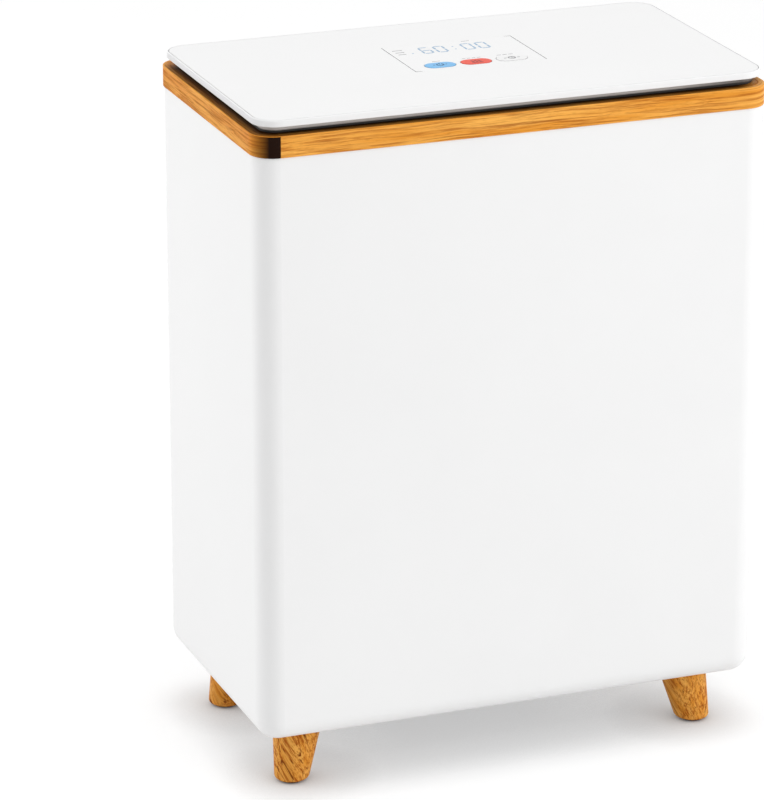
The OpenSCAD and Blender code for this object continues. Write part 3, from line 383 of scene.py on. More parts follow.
class Tree:
    """Adds nodes to one node tree, each linked to what feeds it."""

    def __init__(self, tree):
        self.tree = tree

    def add(self, kind, inputs=None, **choices):
        """A new node with its inputs fed and its other properties set."""
        made = self.tree.nodes.new("ShaderNode" + kind)
        for name, value in choices.items():
            setattr(made, name, value)
        for key, value in (inputs or {}).items():
            self.feed(made.inputs[key], value)
        return made

    def feed(self, socket, value):
        """Links a socket to another one, or writes a plain value on it."""
        if isinstance(value, bpy.types.NodeSocket):
            self.tree.links.new(value, socket)
        else:
            socket.default_value = value

    def maths(self, operation, a, b=0.0):
        """One sum of two values."""
        return self.add("Math", {0: a, 1: b}, operation=operation).outputs[0]

    def fit(self, value, low, high, new_low=0.0, new_high=1.0):
        """A value moved from one range to another, and held at the new range's ends."""
        return self.add("MapRange", {0: value, 1: low, 2: high, 3: new_low, 4: new_high}).outputs[0]

    def within(self, value, low, high, soft=1.0):
        """One between two distances in millimetres, falling to nothing at both."""
        rise = self.fit(value, low * MM, (low + soft) * MM)
        return self.maths("MULTIPLY", rise, self.fit(value, (high - soft) * MM, high * MM, 1.0, 0.0))

    def mix(self, share, a, b, way="MIX"):
        """Two colours mixed by a share."""
        return self.add("Mix", {0: share, 6: a, 7: b}, data_type="RGBA", blend_type=way).outputs[2]

    def tint(self, colour, by):
        """A colour multiplied by another one."""
        return self.mix(1.0, colour, by + (1.0,), "MULTIPLY")

    def parts(self, vector):
        """The X, Y and Z of a vector."""
        return self.add("SeparateXYZ", {0: vector}).outputs

    def facing(self):
        """The X, Y and Z of the surface's outward direction."""
        return self.parts(self.add("NewGeometry").outputs["Normal"])

    def seen(self):
        """One where a camera, glossy or transmitted ray looks, and nothing where light is gathered."""
        rays = self.add("LightPath").outputs
        mirrored = self.maths("MAXIMUM", rays["Is Glossy Ray"], rays["Is Transmission Ray"])
        return self.maths("MAXIMUM", rays["Is Camera Ray"], mirrored)

    def noise(self, vector, scale, detail=2.0, roughness=0.5, spread=0.0):
        """An uneven value round one half."""
        return self.add("TexNoise", {"Vector": vector, "Scale": scale, "Detail": detail,
                                     "Roughness": roughness, "Distortion": spread}).outputs[0]

    def stretch(self, vector, scale):
        """A vector scaled along its own axes."""
        return self.add("Mapping", {"Vector": vector, "Scale": scale}).outputs[0]


def group(name, takes, gives, fill):
    """A shader node group with named inputs and outputs."""
    made = bpy.data.node_groups.new(name, "ShaderNodeTree")
    for label, kind, value in takes:
        socket = made.interface.new_socket(label, in_out="INPUT", socket_type="NodeSocket" + kind)
        if value is not None:
            socket.default_value = value
    for label, kind in gives:
        made.interface.new_socket(label, in_out="OUTPUT", socket_type="NodeSocket" + kind)
    start = made.nodes.new("NodeGroupInput")
    end = made.nodes.new("NodeGroupOutput")
    tree = Tree(made)
    for label, value in fill(tree, start.outputs).items():
        tree.feed(end.inputs[label], value)
    return made


def moulded_skin(tree, takes):
    """The fine uneven skin of a painted or moulded surface, and slow changes in its gloss."""
    here = takes["Vector"]
    fine = tree.noise(here, tree.maths("MULTIPLY", takes["Scale"], 900), 3, 0.6)
    slow = tree.noise(here, tree.maths("MULTIPLY", takes["Scale"], 14), 2, 0.5)
    height = tree.maths("ADD", fine, tree.maths("MULTIPLY", slow, 0.6))
    tone = tree.fit(slow, 0.3, 0.7, 0.0, 1.0)
    gloss = tree.fit(tree.maths("ADD", slow, tree.maths("MULTIPLY", fine, 0.4)), 0.4, 1.0)
    return {"Height": height, "Tone": tone, "Gloss": gloss}


def wood_grain(tree, takes):
    """Wood that runs along X of the vector: broad tones, dark lines and fine pores."""
    here = takes["Vector"]
    slow = tree.add("TexNoise", {"Vector": tree.stretch(here, (9, 40, 40)), "Scale": 1.0,
                                 "Detail": 1.0}).outputs[1]
    centred = tree.add("VectorMath", {0: slow, 1: (0.5, 0.5, 0.5)}, operation="SUBTRACT").outputs[0]
    drift = tree.add("VectorMath", {0: centred, "Scale": takes["Waviness"]}, operation="SCALE").outputs[0]
    bent = tree.add("VectorMath", {0: here, 1: drift}, operation="ADD").outputs[0]
    broad = tree.noise(tree.stretch(bent, (8, 150, 150)), 1.0, 3, 0.55)
    lines = tree.noise(tree.stretch(bent, (16, 560, 560)), 1.0, 4, 0.66)
    fine = tree.noise(tree.stretch(bent, (30, 1500, 1500)), 1.0, 2, 0.6)
    cracks = tree.noise(tree.stretch(bent, (14, 300, 300)), 1.0, 2, 0.5)
    pores = tree.fit(tree.noise(tree.stretch(bent, (140, 2600, 2600)), 1.0, 2, 0.5), 0.60, 0.72)
    mixed = tree.maths("ADD", tree.maths("MULTIPLY", lines, 0.7), tree.maths("MULTIPLY", fine, 0.3))
    return {
        "Tone": tree.fit(broad, 0.36, 0.62),
        "Lines": tree.fit(mixed, 0.46, 0.60),
        "Cracks": tree.fit(cracks, 0.64, 0.70),
        "Pores": pores,
        "Height": tree.maths("SUBTRACT", mixed, pores),
    }


def brushed_lines(tree, takes):
    """Fine lines along X of the vector, as rolling or brushing leaves on sheet metal."""
    here = takes["Vector"]
    lines = tree.noise(tree.stretch(here, (12, 2400, 2400)), 1.0, 3, 0.6)
    cloud = tree.noise(here, 18.0, 3, 0.55)
    return {"Lines": lines, "Cloud": cloud}


def fibre_mat(tree, takes):
    """Tangled short fibres with soft clumps."""
    here = takes["Vector"]
    fibres = tree.noise(here, 1400.0, 4, 0.7, 1.5)
    clumps = tree.noise(here, 160.0, 3, 0.6, 0.5)
    return {"Fibres": fibres, "Clumps": clumps,
            "Height": tree.maths("ADD", fibres, tree.maths("MULTIPLY", clumps, 2.0))}


def light_dust(tree, takes):
    """A thin uneven film of dust on faces that look up."""
    upward = tree.facing()[2]
    speckle = tree.noise(takes["Vector"], 620.0, 4, 0.65)
    patches = tree.noise(takes["Vector"], 22.0, 2, 0.5)
    film = tree.maths("MULTIPLY", tree.fit(upward, 0.2, 1.0), tree.fit(patches, 0.35, 0.75))
    grains = tree.maths("MULTIPLY", tree.fit(speckle, 0.55, 0.75), film)
    return {"Dust": tree.maths("MULTIPLY", grains, takes["Amount"])}


GROUPS = {
    "Moulded Skin": (moulded_skin, [("Vector", "Vector", None), ("Scale", "Float", 1.0)],
                     [("Height", "Float"), ("Tone", "Float"), ("Gloss", "Float")]),
    "Wood Grain": (wood_grain, [("Vector", "Vector", None), ("Waviness", "Float", 0.01)],
                   [("Tone", "Float"), ("Lines", "Float"), ("Cracks", "Float"),
                    ("Pores", "Float"), ("Height", "Float")]),
    "Brushed Lines": (brushed_lines, [("Vector", "Vector", None)],
                      [("Lines", "Float"), ("Cloud", "Float")]),
    "Fibre Mat": (fibre_mat, [("Vector", "Vector", None)],
                  [("Fibres", "Float"), ("Clumps", "Float"), ("Height", "Float")]),
    "Light Dust": (light_dust, [("Vector", "Vector", None), ("Amount", "Float", 0.3)],
                   [("Dust", "Float")]),
}


def effect(tree, name, **inputs):
    """One of the shared groups, placed in a material."""
    if name not in bpy.data.node_groups:
        fill, takes, gives = GROUPS[name]
        group(name, takes, gives, fill)
    made = tree.tree.nodes.new("ShaderNodeGroup")
    made.node_tree = bpy.data.node_groups[name]
    for label, value in inputs.items():
        tree.feed(made.inputs[label], value)
    return made.outputs


def rgba(colour, factor=1.0):
    """A colour with its alpha, lighter or darker by a factor."""
    return tuple(min(1.0, c * factor) for c in colour) + (1.0,)


def finish(name, roughness, metallic=0.0, **sockets):
    """A new material with its Principled shader, and the tree and place that its effects use.

    A material that already has the name is given back alone, as it is."""
    if name in bpy.data.materials:
        return bpy.data.materials[name], None, None, None
    material = bpy.data.materials.new(name)
    material.use_nodes = True
    tree = Tree(material.node_tree)
    shader = material.node_tree.nodes["Principled BSDF"]
    shader.inputs["Roughness"].default_value = roughness
    shader.inputs["Metallic"].default_value = metallic
    for label, value in sockets.items():
        shader.inputs[label.replace("_", " ")].default_value = value
    here = tree.add("TexCoord").outputs["Object"]
    return material, tree, shader, here


def bump(tree, shader, height, distance):
    """Feeds a height through a Bump node to the shader."""
    tree.feed(shader.inputs["Normal"], tree.add("Bump", {"Height": height, "Distance": distance}).outputs[0])


DUST_COLOUR = (0.55, 0.53, 0.50, 1.0)


def plastic(name, colour, roughness=0.38, scale=1.0, depth=0.00001, tint=0.985, dust=0.0, **sockets):
    """Moulded or painted plastic with a fine skin."""
    material, tree, shader, here = finish(name, roughness, **sockets)
    if tree is None:
        return material
    surface = effect(tree, "Moulded Skin", Vector=here, Scale=scale)
    paint = tree.mix(surface["Tone"], rgba(colour, tint), rgba(colour, 2 - tint))
    if dust:
        film = effect(tree, "Light Dust", Vector=here, Amount=dust)
        paint = tree.mix(film["Dust"], paint, DUST_COLOUR)
    tree.feed(shader.inputs["Base Color"], paint)
    tree.feed(shader.inputs["Roughness"], tree.fit(surface["Gloss"], 0, 1, roughness * 0.9, roughness * 1.12))
    bump(tree, shader, surface["Height"], depth)
    return material


def metal(name, colour, roughness):
    """Sheet or turned metal with fine lines along X."""
    material, tree, shader, here = finish(name, roughness, 1.0)
    if tree is None:
        return material
    lines = effect(tree, "Brushed Lines", Vector=here)
    clouded = tree.mix(tree.fit(lines["Cloud"], 0.3, 0.7), rgba(colour, 0.9), rgba(colour, 1.05))
    tree.feed(shader.inputs["Base Color"], clouded)
    brushed = tree.fit(lines["Lines"], 0.3, 0.7, roughness * 0.75, roughness * 1.3)
    tree.feed(shader.inputs["Roughness"], brushed)
    bump(tree, shader, lines["Lines"], 0.000004)
    return material


def soft_fibre(name, colour, dark):
    """Felted fibre or foam."""
    material, tree, shader, here = finish(name, 0.92, Sheen_Weight=0.2, Sheen_Roughness=0.5)
    if tree is None:
        return material
    mat = effect(tree, "Fibre Mat", Vector=here)
    fibres = tree.maths("MULTIPLY", mat["Fibres"], 0.6)
    tone = tree.maths("ADD", fibres, tree.maths("MULTIPLY", mat["Clumps"], 0.4))
    tree.feed(shader.inputs["Base Color"], tree.mix(tree.fit(tone, 0.3, 0.7), rgba(dark), rgba(colour)))
    bump(tree, shader, mat["Height"], 0.0002)
    return material


def lacquered_wood(name, wood, waviness, contrast, cracks, depth=1.0, roughness=0.5):
    """Oiled honey-coloured wood whose grain runs along X of the grain that the mesh carries."""
    material, tree, shader, _ = finish(name, roughness, Specular_IOR_Level=0.08)
    where = tree.add("Attribute", attribute_name="grain").outputs["Vector"]
    grain = effect(tree, "Wood Grain", Vector=where, Waviness=waviness)
    base = tree.mix(grain["Tone"], rgba(wood.middle, depth), rgba(wood.light, depth))
    lined = tree.mix(tree.maths("MULTIPLY", grain["Lines"], contrast), base, rgba(wood.dark, 1.3))
    cracked = tree.mix(tree.maths("MULTIPLY", grain["Cracks"], cracks), lined, rgba(wood.dark, 0.7))
    pored = tree.mix(tree.maths("MULTIPLY", grain["Pores"], 0.35), cracked, rgba(wood.dark))
    tree.feed(shader.inputs["Base Color"], pored)
    tree.feed(shader.inputs["Roughness"], tree.fit(grain["Lines"], 0, 1, roughness * 0.85, roughness * 1.3))
    bump(tree, shader, grain["Height"], 0.00004)
    return material, tree, shader, where


def write_grain(made, where):
    """Stores, on each face corner, the point along, up and into the wood that the place function gives."""
    mesh = made.data
    layer = mesh.attributes.new("grain", "FLOAT_VECTOR", "CORNER")
    for face in mesh.polygons:
        middle = face.center / MM
        for loop in face.loop_indices:
            point = mesh.vertices[mesh.loops[loop].vertex_index].co / MM
            layer.data[loop].vector = Vector(where(point, middle)) * MM


# The cabinet

BODY_W = SHELL_HIGH.x - SHELL_LOW.x
BODY_D = SHELL_HIGH.y - SHELL_LOW.y
SHELL_Z0 = SHELL_LOW.z
SHELL_Z1 = SHELL_HIGH.z
SERVICE = (250, 144, 7)
COVER_SPOTS = [(s * 130, y) for s in (-1, 1) for y in (-45, 45)] + [(0, -77), (0, 77)]
FOOT_TOPS = {(s, e): Vector((s * 158, e * 70, SHELL_Z0)) for s in (-1, 1) for e in (-1, 1)}
FRAME_SIDE_SPOTS = [(s * 192.5, y) for s in (-1, 1) for y in (-60, 60)]
FRAME_END_SPOTS = [(x, s * 105.5) for s in (-1, 1) for x in (-110, 110)]
INLET = Vector((120, 113, 84))


class WARMER_OT_cabinet(bpy.types.Operator):
    """White moulded cabinet with round edges, its bosses inside and its openings"""
    bl_idname = "warmer.cabinet"
    bl_label = "Cabinet"

    def execute(self, context):
        look = context.scene.cabinet_settings
        size = (BODY_W, BODY_D, look.corner)
        wall = look.wall
        low = look.lower
        floor = SHELL_Z0 + wall
        levels = edge_round(*size, low, SHELL_Z0 + low, low, -90, 0, 10)
        levels.append(level(*size, SHELL_Z0 + low + 1))
        levels.append(level(*size, SHELL_Z1 - look.rim - 1))
        levels += edge_round(*size, look.rim, SHELL_Z1 - look.rim, look.rim, 0, 90, 4)
        levels += edge_round(*size, wall - 0.4, SHELL_Z1 - 0.4, 0.4, 90, 180, 3)
        levels += edge_round(*size, low, SHELL_Z0 + low, low - wall, 0, -90, 8)
        levels.append(level(*SERVICE, floor))
        levels.append(level(*SERVICE, SHELL_Z0))
        made = mesh_object("cabinet", skin(levels, closed=True))
        bosses = [rod(4, SHELL_Z0 + 0.5, SHELL_Z0 + 10, at) for at in COVER_SPOTS]
        bosses += [rod(11, SHELL_Z0 + 0.5, SHELL_Z0 + 15, top.xy, 48) for top in FOOT_TOPS.values()]
        for x, y in FRAME_SIDE_SPOTS:
            side = math.copysign(1, x)
            bosses.append(block(12, 14, 1.5, 470, 494, 1.2, at=(x + side * 0.4, y), n=4))
        for x, y in FRAME_END_SPOTS:
            side = math.copysign(1, y)
            bosses.append(block(14, 12, 1.5, 470, 494, 1.2, at=(x, y + side * 0.4), n=4))
        cut(made, bosses, "UNION")
        holes = [rod(1.3, SHELL_Z0 - 1, SHELL_Z0 + 9, at) for at in COVER_SPOTS]
        holes += [rod(6, SHELL_Z0 - 1, SHELL_Z0 + 12.5, top.xy) for top in FOOT_TOPS.values()]
        holes += [rod(1.3, 474, 500, at) for at in FRAME_SIDE_SPOTS + FRAME_END_SPOTS]
        upright = Matrix.Translation(INLET) @ Matrix.Rotation(math.radians(90), 4, "X")
        holes.append(turned(block(27.8, 20.0, 0.6, -6, 6), upright))
        cut(made, holes)
        place(made, "cabinet", "cabinet_white", ["outer_shell"], cabinet_white(look))
        return {"FINISHED"}


def cabinet_white(look):
    """Satin white paint."""
    return plastic("cabinet white", look.colour, 0.42, depth=0.000006, tint=0.995, dust=0.05,
                   Coat_Weight=0.05, Coat_Roughness=0.25)


# The wooden ring

RING_W = RING_HIGH.x - RING_LOW.x
RING_D = RING_HIGH.y - RING_LOW.y
RING_R = 18
RING_SECTION = 13
RING_TURN = math.pi / 2 * (RING_R - RING_SECTION / 2)
RING_Z0 = RING_LOW.z
RING_Z1 = RING_HIGH.z
FLANGE_TOP = BUCKET_HIGH.z
FLANGE = (381.2, 207.2, 8)
RING_SCREW_SPOTS = [(s * 192.5, y) for s in (-1, 1) for y in (-30, 30)]
RING_SCREW_SPOTS += [(x, s * 105.5) for s in (-1, 1) for x in (-60, 60)]
HINGE_XS = (-120, 120)
HINGE_SCREW_XS = [h + k * 15 for h in HINGE_XS for k in (-1, 1)]
HINGE_LEAF = (44.2, 10.2)
HINGE_LEAF_Y = 107.5
HARNESS_Y = 105.9


def along_ring(point, middle):
    """The point's way round the ring from the front left corner, its height, and its depth in the wood."""
    half_w, half_d = RING_W / 2 - RING_R, RING_D / 2 - RING_R
    turn = RING_TURN
    front, side = 2 * half_w, 2 * half_d
    starts = {"front": 0, "right": front + turn, "rear": front + side + 2 * turn,
              "left": 2 * front + side + 3 * turn}
    if abs(middle.x) <= half_w and middle.y < 0:
        return starts["front"] + point.x + half_w, point.z, point.y + RING_D / 2
    if abs(middle.x) <= half_w:
        return starts["rear"] + half_w - point.x, point.z, RING_D / 2 - point.y
    if abs(middle.y) <= half_d and middle.x > 0:
        return starts["right"] + point.y + half_d, point.z, RING_W / 2 - point.x
    if abs(middle.y) <= half_d:
        return starts["left"] + half_d - point.y, point.z, point.x + RING_W / 2
    sx, sy = math.copysign(1, middle.x), math.copysign(1, middle.y)
    away = Vector((point.x - sx * half_w, point.y - sy * half_d))
    angle = math.atan2(abs(away.y), abs(away.x)) / (math.pi / 2)
    share = angle if sx * sy > 0 else 1 - angle
    before = {(1, -1): front, (1, 1): starts["right"] + side, (-1, 1): starts["rear"] + front,
              (-1, -1): starts["left"] + side}[(sx, sy)]
    return before + turn * share, point.z, RING_R - away.length


class WARMER_OT_wood_ring(bpy.types.Operator):
    """Wooden ring round the mouth, rebated over the bucket's flange, with the hinges' recesses"""
    bl_idname = "warmer.wood_ring"
    bl_label = "Wooden ring"

    def execute(self, context):
        wood = context.scene.wood_settings
        size = (RING_W, RING_D, RING_R)
        e = wood.edge
        levels = edge_round(*size, e, RING_Z0 + e, e, -90, 0, 3)
        levels += edge_round(*size, e, RING_Z1 - e, e, 0, 90, 4)
        levels += edge_round(*size, RING_SECTION - e, RING_Z1 - e, e, 90, 180, 4)
        levels.append(level(*size, FLANGE_TOP, RING_SECTION))
        levels.append(level(*FLANGE, FLANGE_TOP))
        levels.append(level(*FLANGE, RING_Z0))
        made = mesh_object("wooden_ring", skin(levels, closed=True))
        holes = [rod(1.3, RING_Z0 - 1, RING_Z0 + 10, at) for at in RING_SCREW_SPOTS]
        holes += [block(*HINGE_LEAF, 0.4, RING_Z1 - 1.2, RING_Z1 + 1, at=(x, HINGE_LEAF_Y), n=3)
                  for x in HINGE_XS]
        holes += [rod(1.25, RING_Z1 - 10, RING_Z1, (x, 105)) for x in HINGE_SCREW_XS]
        holes.append(rod(2, RING_Z0 - 1, RING_Z1 + 1, (0, HARNESS_Y)))
        cut(made, holes)
        write_grain(made, along_ring)
        place(made, "cabinet", "ring_wood", ["wood_ring"], ring_wood(wood))
        return {"FINISHED"}


# Painted shade that makes the left stave darker than the rest of the ring.
STAVE_SHADE_TINT = (0.87, 0.80, 0.58)

# The painted shadow of the plate on the ring's top: where it starts and where it deepens, in millimetres in
# from the outer edge, and how much of it is left at three corners painted as lit, up to LIT_CORNER_PAST
# millimetres past each.
UNDER_LID_SHADE_TINT = (0.34, 0.33, 0.19)
UNDER_LID_SHADE_EDGE = (0.4, 1.2)
UNDER_LID_SHADE_INNER = (3.0, 7.5)
UNDER_LID_SHADE_AT_LIT_CORNERS = 0.25
LIT_CORNER_PAST = 8
LIT_CORNER_SOFT = 12.0

# The painted shade on the side of the front left corner starts and is full at these shares of the corner's arc.
CORNER_SHADE_SHARE = (0.10, 0.70)


def ring_wood(wood):
    """Ring wood with painted shade: the plate's shadow on the top inside a bright lip, the left stave, the
    front left corner.
    """
    material, tree, shader, where = lacquered_wood("ring wood", wood, 0.008, 0.70, 0.30)
    way, _, depth = tree.parts(where)
    upward = tree.facing()[2]
    front, side, turn = RING_W - 2 * RING_R, RING_D - 2 * RING_R, RING_TURN
    left = 2 * front + side + 3 * turn
    corner = left + side
    paint = shader.inputs["Base Color"].links[0].from_socket
    # Painted shade on the left stave.
    stave_shade = tree.tint(paint, STAVE_SHADE_TINT)
    stave = tree.mix(tree.within(way, left - 4, corner + turn + 9, 4.0), paint, stave_shade)
    # The three corners where the top is painted as lit, with less of the painted shadow.
    lit_and_uneven = None
    for start in (front, front + turn + side, 2 * front + side + 2 * turn):
        here = tree.within(way, start - LIT_CORNER_PAST, start + turn + LIT_CORNER_PAST, LIT_CORNER_SOFT)
        lit_and_uneven = here if lit_and_uneven is None else tree.maths("MAXIMUM", lit_and_uneven, here)
    # Painted shadow of the plate on the ring's top, inside the bright outer lip.
    top = tree.maths("MULTIPLY", tree.fit(upward, 0.6, 0.9), tree.fit(lit_and_uneven, 0, 1, 1.0, UNDER_LID_SHADE_AT_LIT_CORNERS))
    under_lid_shade = tree.maths("MULTIPLY", top, tree.fit(depth, UNDER_LID_SHADE_EDGE[0] * MM, UNDER_LID_SHADE_EDGE[1] * MM))
    with_under_lid_shade = tree.mix(under_lid_shade, stave, tree.tint(stave, UNDER_LID_SHADE_TINT))
    deep = tree.fit(depth, UNDER_LID_SHADE_INNER[0] * MM, UNDER_LID_SHADE_INNER[1] * MM, 0.0, 0.85)
    # Painted shade, near black, on the top deep under the plate beside the neck.
    painted_shade = tree.mix(tree.maths("MULTIPLY", top, deep), with_under_lid_shade, rgba(wood.dark, 0.06))
    # Painted shade on the side of the front left corner, darker towards the front face.
    corner_shade_run = tree.fit(way, *[(corner + share * turn) * MM for share in CORNER_SHADE_SHARE])
    corner_shade = tree.maths("MULTIPLY", corner_shade_run, tree.fit(upward, 0.3, 0.6, 1.0, 0.0))
    tree.feed(shader.inputs["Base Color"], tree.mix(corner_shade, painted_shade, rgba(wood.dark, 0.04)))
    return material


# The feet

FOOT_AXIS = Vector((7.5, 7, -44.5))
FOOT_TOP_R = 19
FOOT_END_R = 13
FOOT_Z0 = 1.5
STUD_R = 4
STUD_DEPTH = 18
FOOT_NAMES = {(-1, -1): "front_left", (1, -1): "front_right", (-1, 1): "rear_left", (1, 1): "rear_right"}
PAD_R = 9
STREAKS = Vector((0.335, -0.440, -0.833))
GRAIN_STEP = Vector((37, 61, 23))


def foot_outline(top, axis, z, inset, n=64):
    """Where a leaning cone meets the height z, drawn in by an inset."""
    along = axis.normalized()
    across = (Vector((1, 0, 0)) - along.x * along).normalized()
    beside = along.cross(across)
    if beside.y < 0:
        beside = -beside
    slope = (FOOT_END_R - FOOT_TOP_R) / axis.length
    points = []
    for i in range(n):
        a = 2 * math.pi * i / n
        out = math.cos(a) * across + math.sin(a) * beside
        r = FOOT_TOP_R - inset
        s = (z - top.z - r * out.z) / (along.z + slope * out.z)
        points.append(top + s * along + (r + slope * s) * out)
    return points


class WARMER_OT_feet(bpy.types.Operator):
    """Four splayed wooden feet with their rubber pads"""
    bl_idname = "warmer.feet"
    bl_label = "Feet"

    def execute(self, context):
        wood = context.scene.wood_settings
        grained = lacquered_wood("foot wood", wood, 0.022, 1.0, 1.0, 0.87)[0]
        side_grain = STREAKS.cross(Vector((0, 0, 1))).normalized()
        far_grain = STREAKS.cross(side_grain)
        e = wood.foot_edge
        pads = []
        for k, ((side, end), top) in enumerate(FOOT_TOPS.items()):
            axis = Vector((side * FOOT_AXIS.x, end * FOOT_AXIS.y, FOOT_AXIS.z))
            levels = []
            for i in range(7):
                a = math.radians(-90 + 15 * i)
                levels.append(foot_outline(top, axis, FOOT_Z0 + e + e * math.sin(a), e - e * math.cos(a)))
            rise = SHELL_Z0 - FOOT_Z0 - e
            levels += [foot_outline(top, axis, FOOT_Z0 + e + rise * i / 8, 0) for i in range(1, 9)]
            levels.append(circle(STUD_R, SHELL_Z0, top.xy, 64))
            levels.append(circle(STUD_R, SHELL_Z0 - STUD_DEPTH, top.xy, 64))
            name = FOOT_NAMES[(side, end)]
            made = mesh_object("foot_of_wood_" + name, skin(levels))
            shift = k * GRAIN_STEP
            write_grain(made, lambda p, m: (STREAKS.dot(p) + shift.x, side_grain.dot(p) + shift.y,
                                            far_grain.dot(p) + shift.z))
            place(made, "cabinet", "foot_wood", ["foot_" + name], grained)
            pads.append(block(2 * PAD_R, 2 * PAD_R, PAD_R, 0, FOOT_Z0, 0.5, 0.2, at=(top + axis).xy, n=12))
        made = mesh_object("rubber_pads", joined(pads))
        place(made, "cabinet", "pad_rubber", ["foot_pads"], rubber("pad rubber", (0.03, 0.03, 0.03)))
        return {"FINISHED"}


def rubber(name, colour):
    """Dull rubber with a little dust."""
    return plastic(name, colour, 0.75, scale=1.5, depth=0.00005, tint=0.9, dust=0.3)


# The lid's plate

PLATE_W = PLATE_HIGH.x - PLATE_LOW.x
PLATE_D = PLATE_HIGH.y - PLATE_LOW.y
PLATE_Z1 = PLATE_HIGH.z
NECK_WALL = 2
NECK_Z0 = NECK_LOW.z
NECK_FLOOR = NECK_Z0 + NECK_WALL
PANEL_SEAT = (104.5, 72.5)
PANEL_WELL = (98.5, 66.5)
PANEL_AT = (6.75, 12.75)
PANEL_Z0 = PANEL_LOW.z
NECK_POSTS = [(s * x, e * 87.5) for s in (-1, 1) for e in (-1, 1) for x in (174.5, 87.25)]
CONTROL_POSTS = [(PANEL_AT[0] + s * 56.75, PANEL_AT[1] + e * 40.75) for s in (-1, 1) for e in (-1, 1)]
CONTROL_Z1 = PLATE_UNDER - 5.4
GROOVE = 0.5
LID_SCREW_Y = (100.5 + 106.8) / 2


class WARMER_OT_lid_plate(bpy.types.Operator):
    """Thin white plate on top, with the panel's seat and the posts underneath"""
    bl_idname = "warmer.lid_plate"
    bl_label = "Lid plate"

    def execute(self, context):
        look = context.scene.lid_settings
        size = (PLATE_W, PLATE_D, look.plate_corner)
        e, low = look.plate_edge, look.plate_under
        levels = [level(*size, PLATE_UNDER, low + 1)]
        levels += edge_round(*size, low, PLATE_UNDER + low, low, -90, 0, 4)
        levels += edge_round(*size, e, PLATE_Z1 - e, e, 0, 90, 6)
        for inset, drop in ((0, 0), (0, GROOVE), (GROOVE, GROOVE), (GROOVE, 0)):
            levels.append(level(*size, PLATE_Z1 - drop, e + 0.3 + inset))
        made = mesh_object("lid_top", skin(levels))
        posts = [rod(3.5, NECK_FLOOR, PLATE_UNDER + 0.5, at) for at in NECK_POSTS]
        posts += [rod(3, CONTROL_Z1, PLATE_UNDER + 0.5, at) for at in CONTROL_POSTS]
        cut(made, posts, "UNION")
        cut(made, [block(*PANEL_SEAT, 0.3, PANEL_Z0, PLATE_Z1 + 1, at=PANEL_AT, n=3)])
        holes = [block(*PANEL_WELL, 1.5, PLATE_UNDER - 1, PLATE_Z1 + 0.5, at=PANEL_AT, n=4)]
        holes += [rod(1.25, NECK_FLOOR - 1, NECK_Z0 + 11, at, 16) for at in NECK_POSTS]
        holes += [rod(1.1, CONTROL_Z1 - 1, CONTROL_Z1 + 3.9, at, 16) for at in CONTROL_POSTS]
        holes += [rod(1.25, PLATE_UNDER - 1, PLATE_UNDER + 2.4, (x, LID_SCREW_Y), 16) for x in HINGE_SCREW_XS]
        cut(made, holes)
        place(made, "lid", "lid_white", ["lid_plate"], lid_white(context.scene.cabinet_settings))
        return {"FINISHED"}


def lid_white(look):
    """The cabinet's white with painted shade: a touch greyer at the plate's two ends and dark in the groove
    round its top.
    """
    material = plastic("lid white", look.colour, 0.5, depth=0.000004, tint=0.996, dust=0.05,
                       Specular_IOR_Level=0.03)
    tree = Tree(material.node_tree)
    shader = material.node_tree.nodes["Principled BSDF"]
    normal = tree.facing()
    height = tree.parts(tree.add("TexCoord").outputs["Object"])[2]
    # Painted shade on the plate's two ends.
    side_shade = tree.fit(tree.maths("ABSOLUTE", normal[0]), 0.7, 0.95, 0.0, 0.15)
    # Painted shade in the groove round the plate's top.
    low = tree.fit(height, (PLATE_Z1 - 0.4) * MM, (PLATE_Z1 - 0.2) * MM, 0.95, 0.0)
    painted_shade = tree.maths("MULTIPLY", low, tree.fit(normal[2], 0.9, 0.95))
    paint = shader.inputs["Base Color"].links[0].from_socket
    shade = tree.maths("MAXIMUM", side_shade, painted_shade)
    tree.feed(shader.inputs["Base Color"], tree.mix(shade, paint, (0.16, 0.16, 0.17, 1)))
    return material


# The neck, its seal and its liner

NECK = (373, 199, 3.5)
SKIRT = (385, 211, 12)
SKIRT_Z0 = RING_Z1 + 0.5
SKIRT_END = 91.5
SEAL = (371, 197, 4)
SEAL_W = 5
SEAL_Z0 = 499.5
LINER = (359, 185, 2)
LINER_Z0 = NECK_Z0 - 0.8
SCREW_PASS_R = 1.8
LEAD_HOLE = (0, 99, 517.8)

# Where the neck's band of painted light begins and where it is full, in millimetres under the plate.
PAINTED_LIGHT_FROM, PAINTED_LIGHT_FULL = 4.0, 3.0


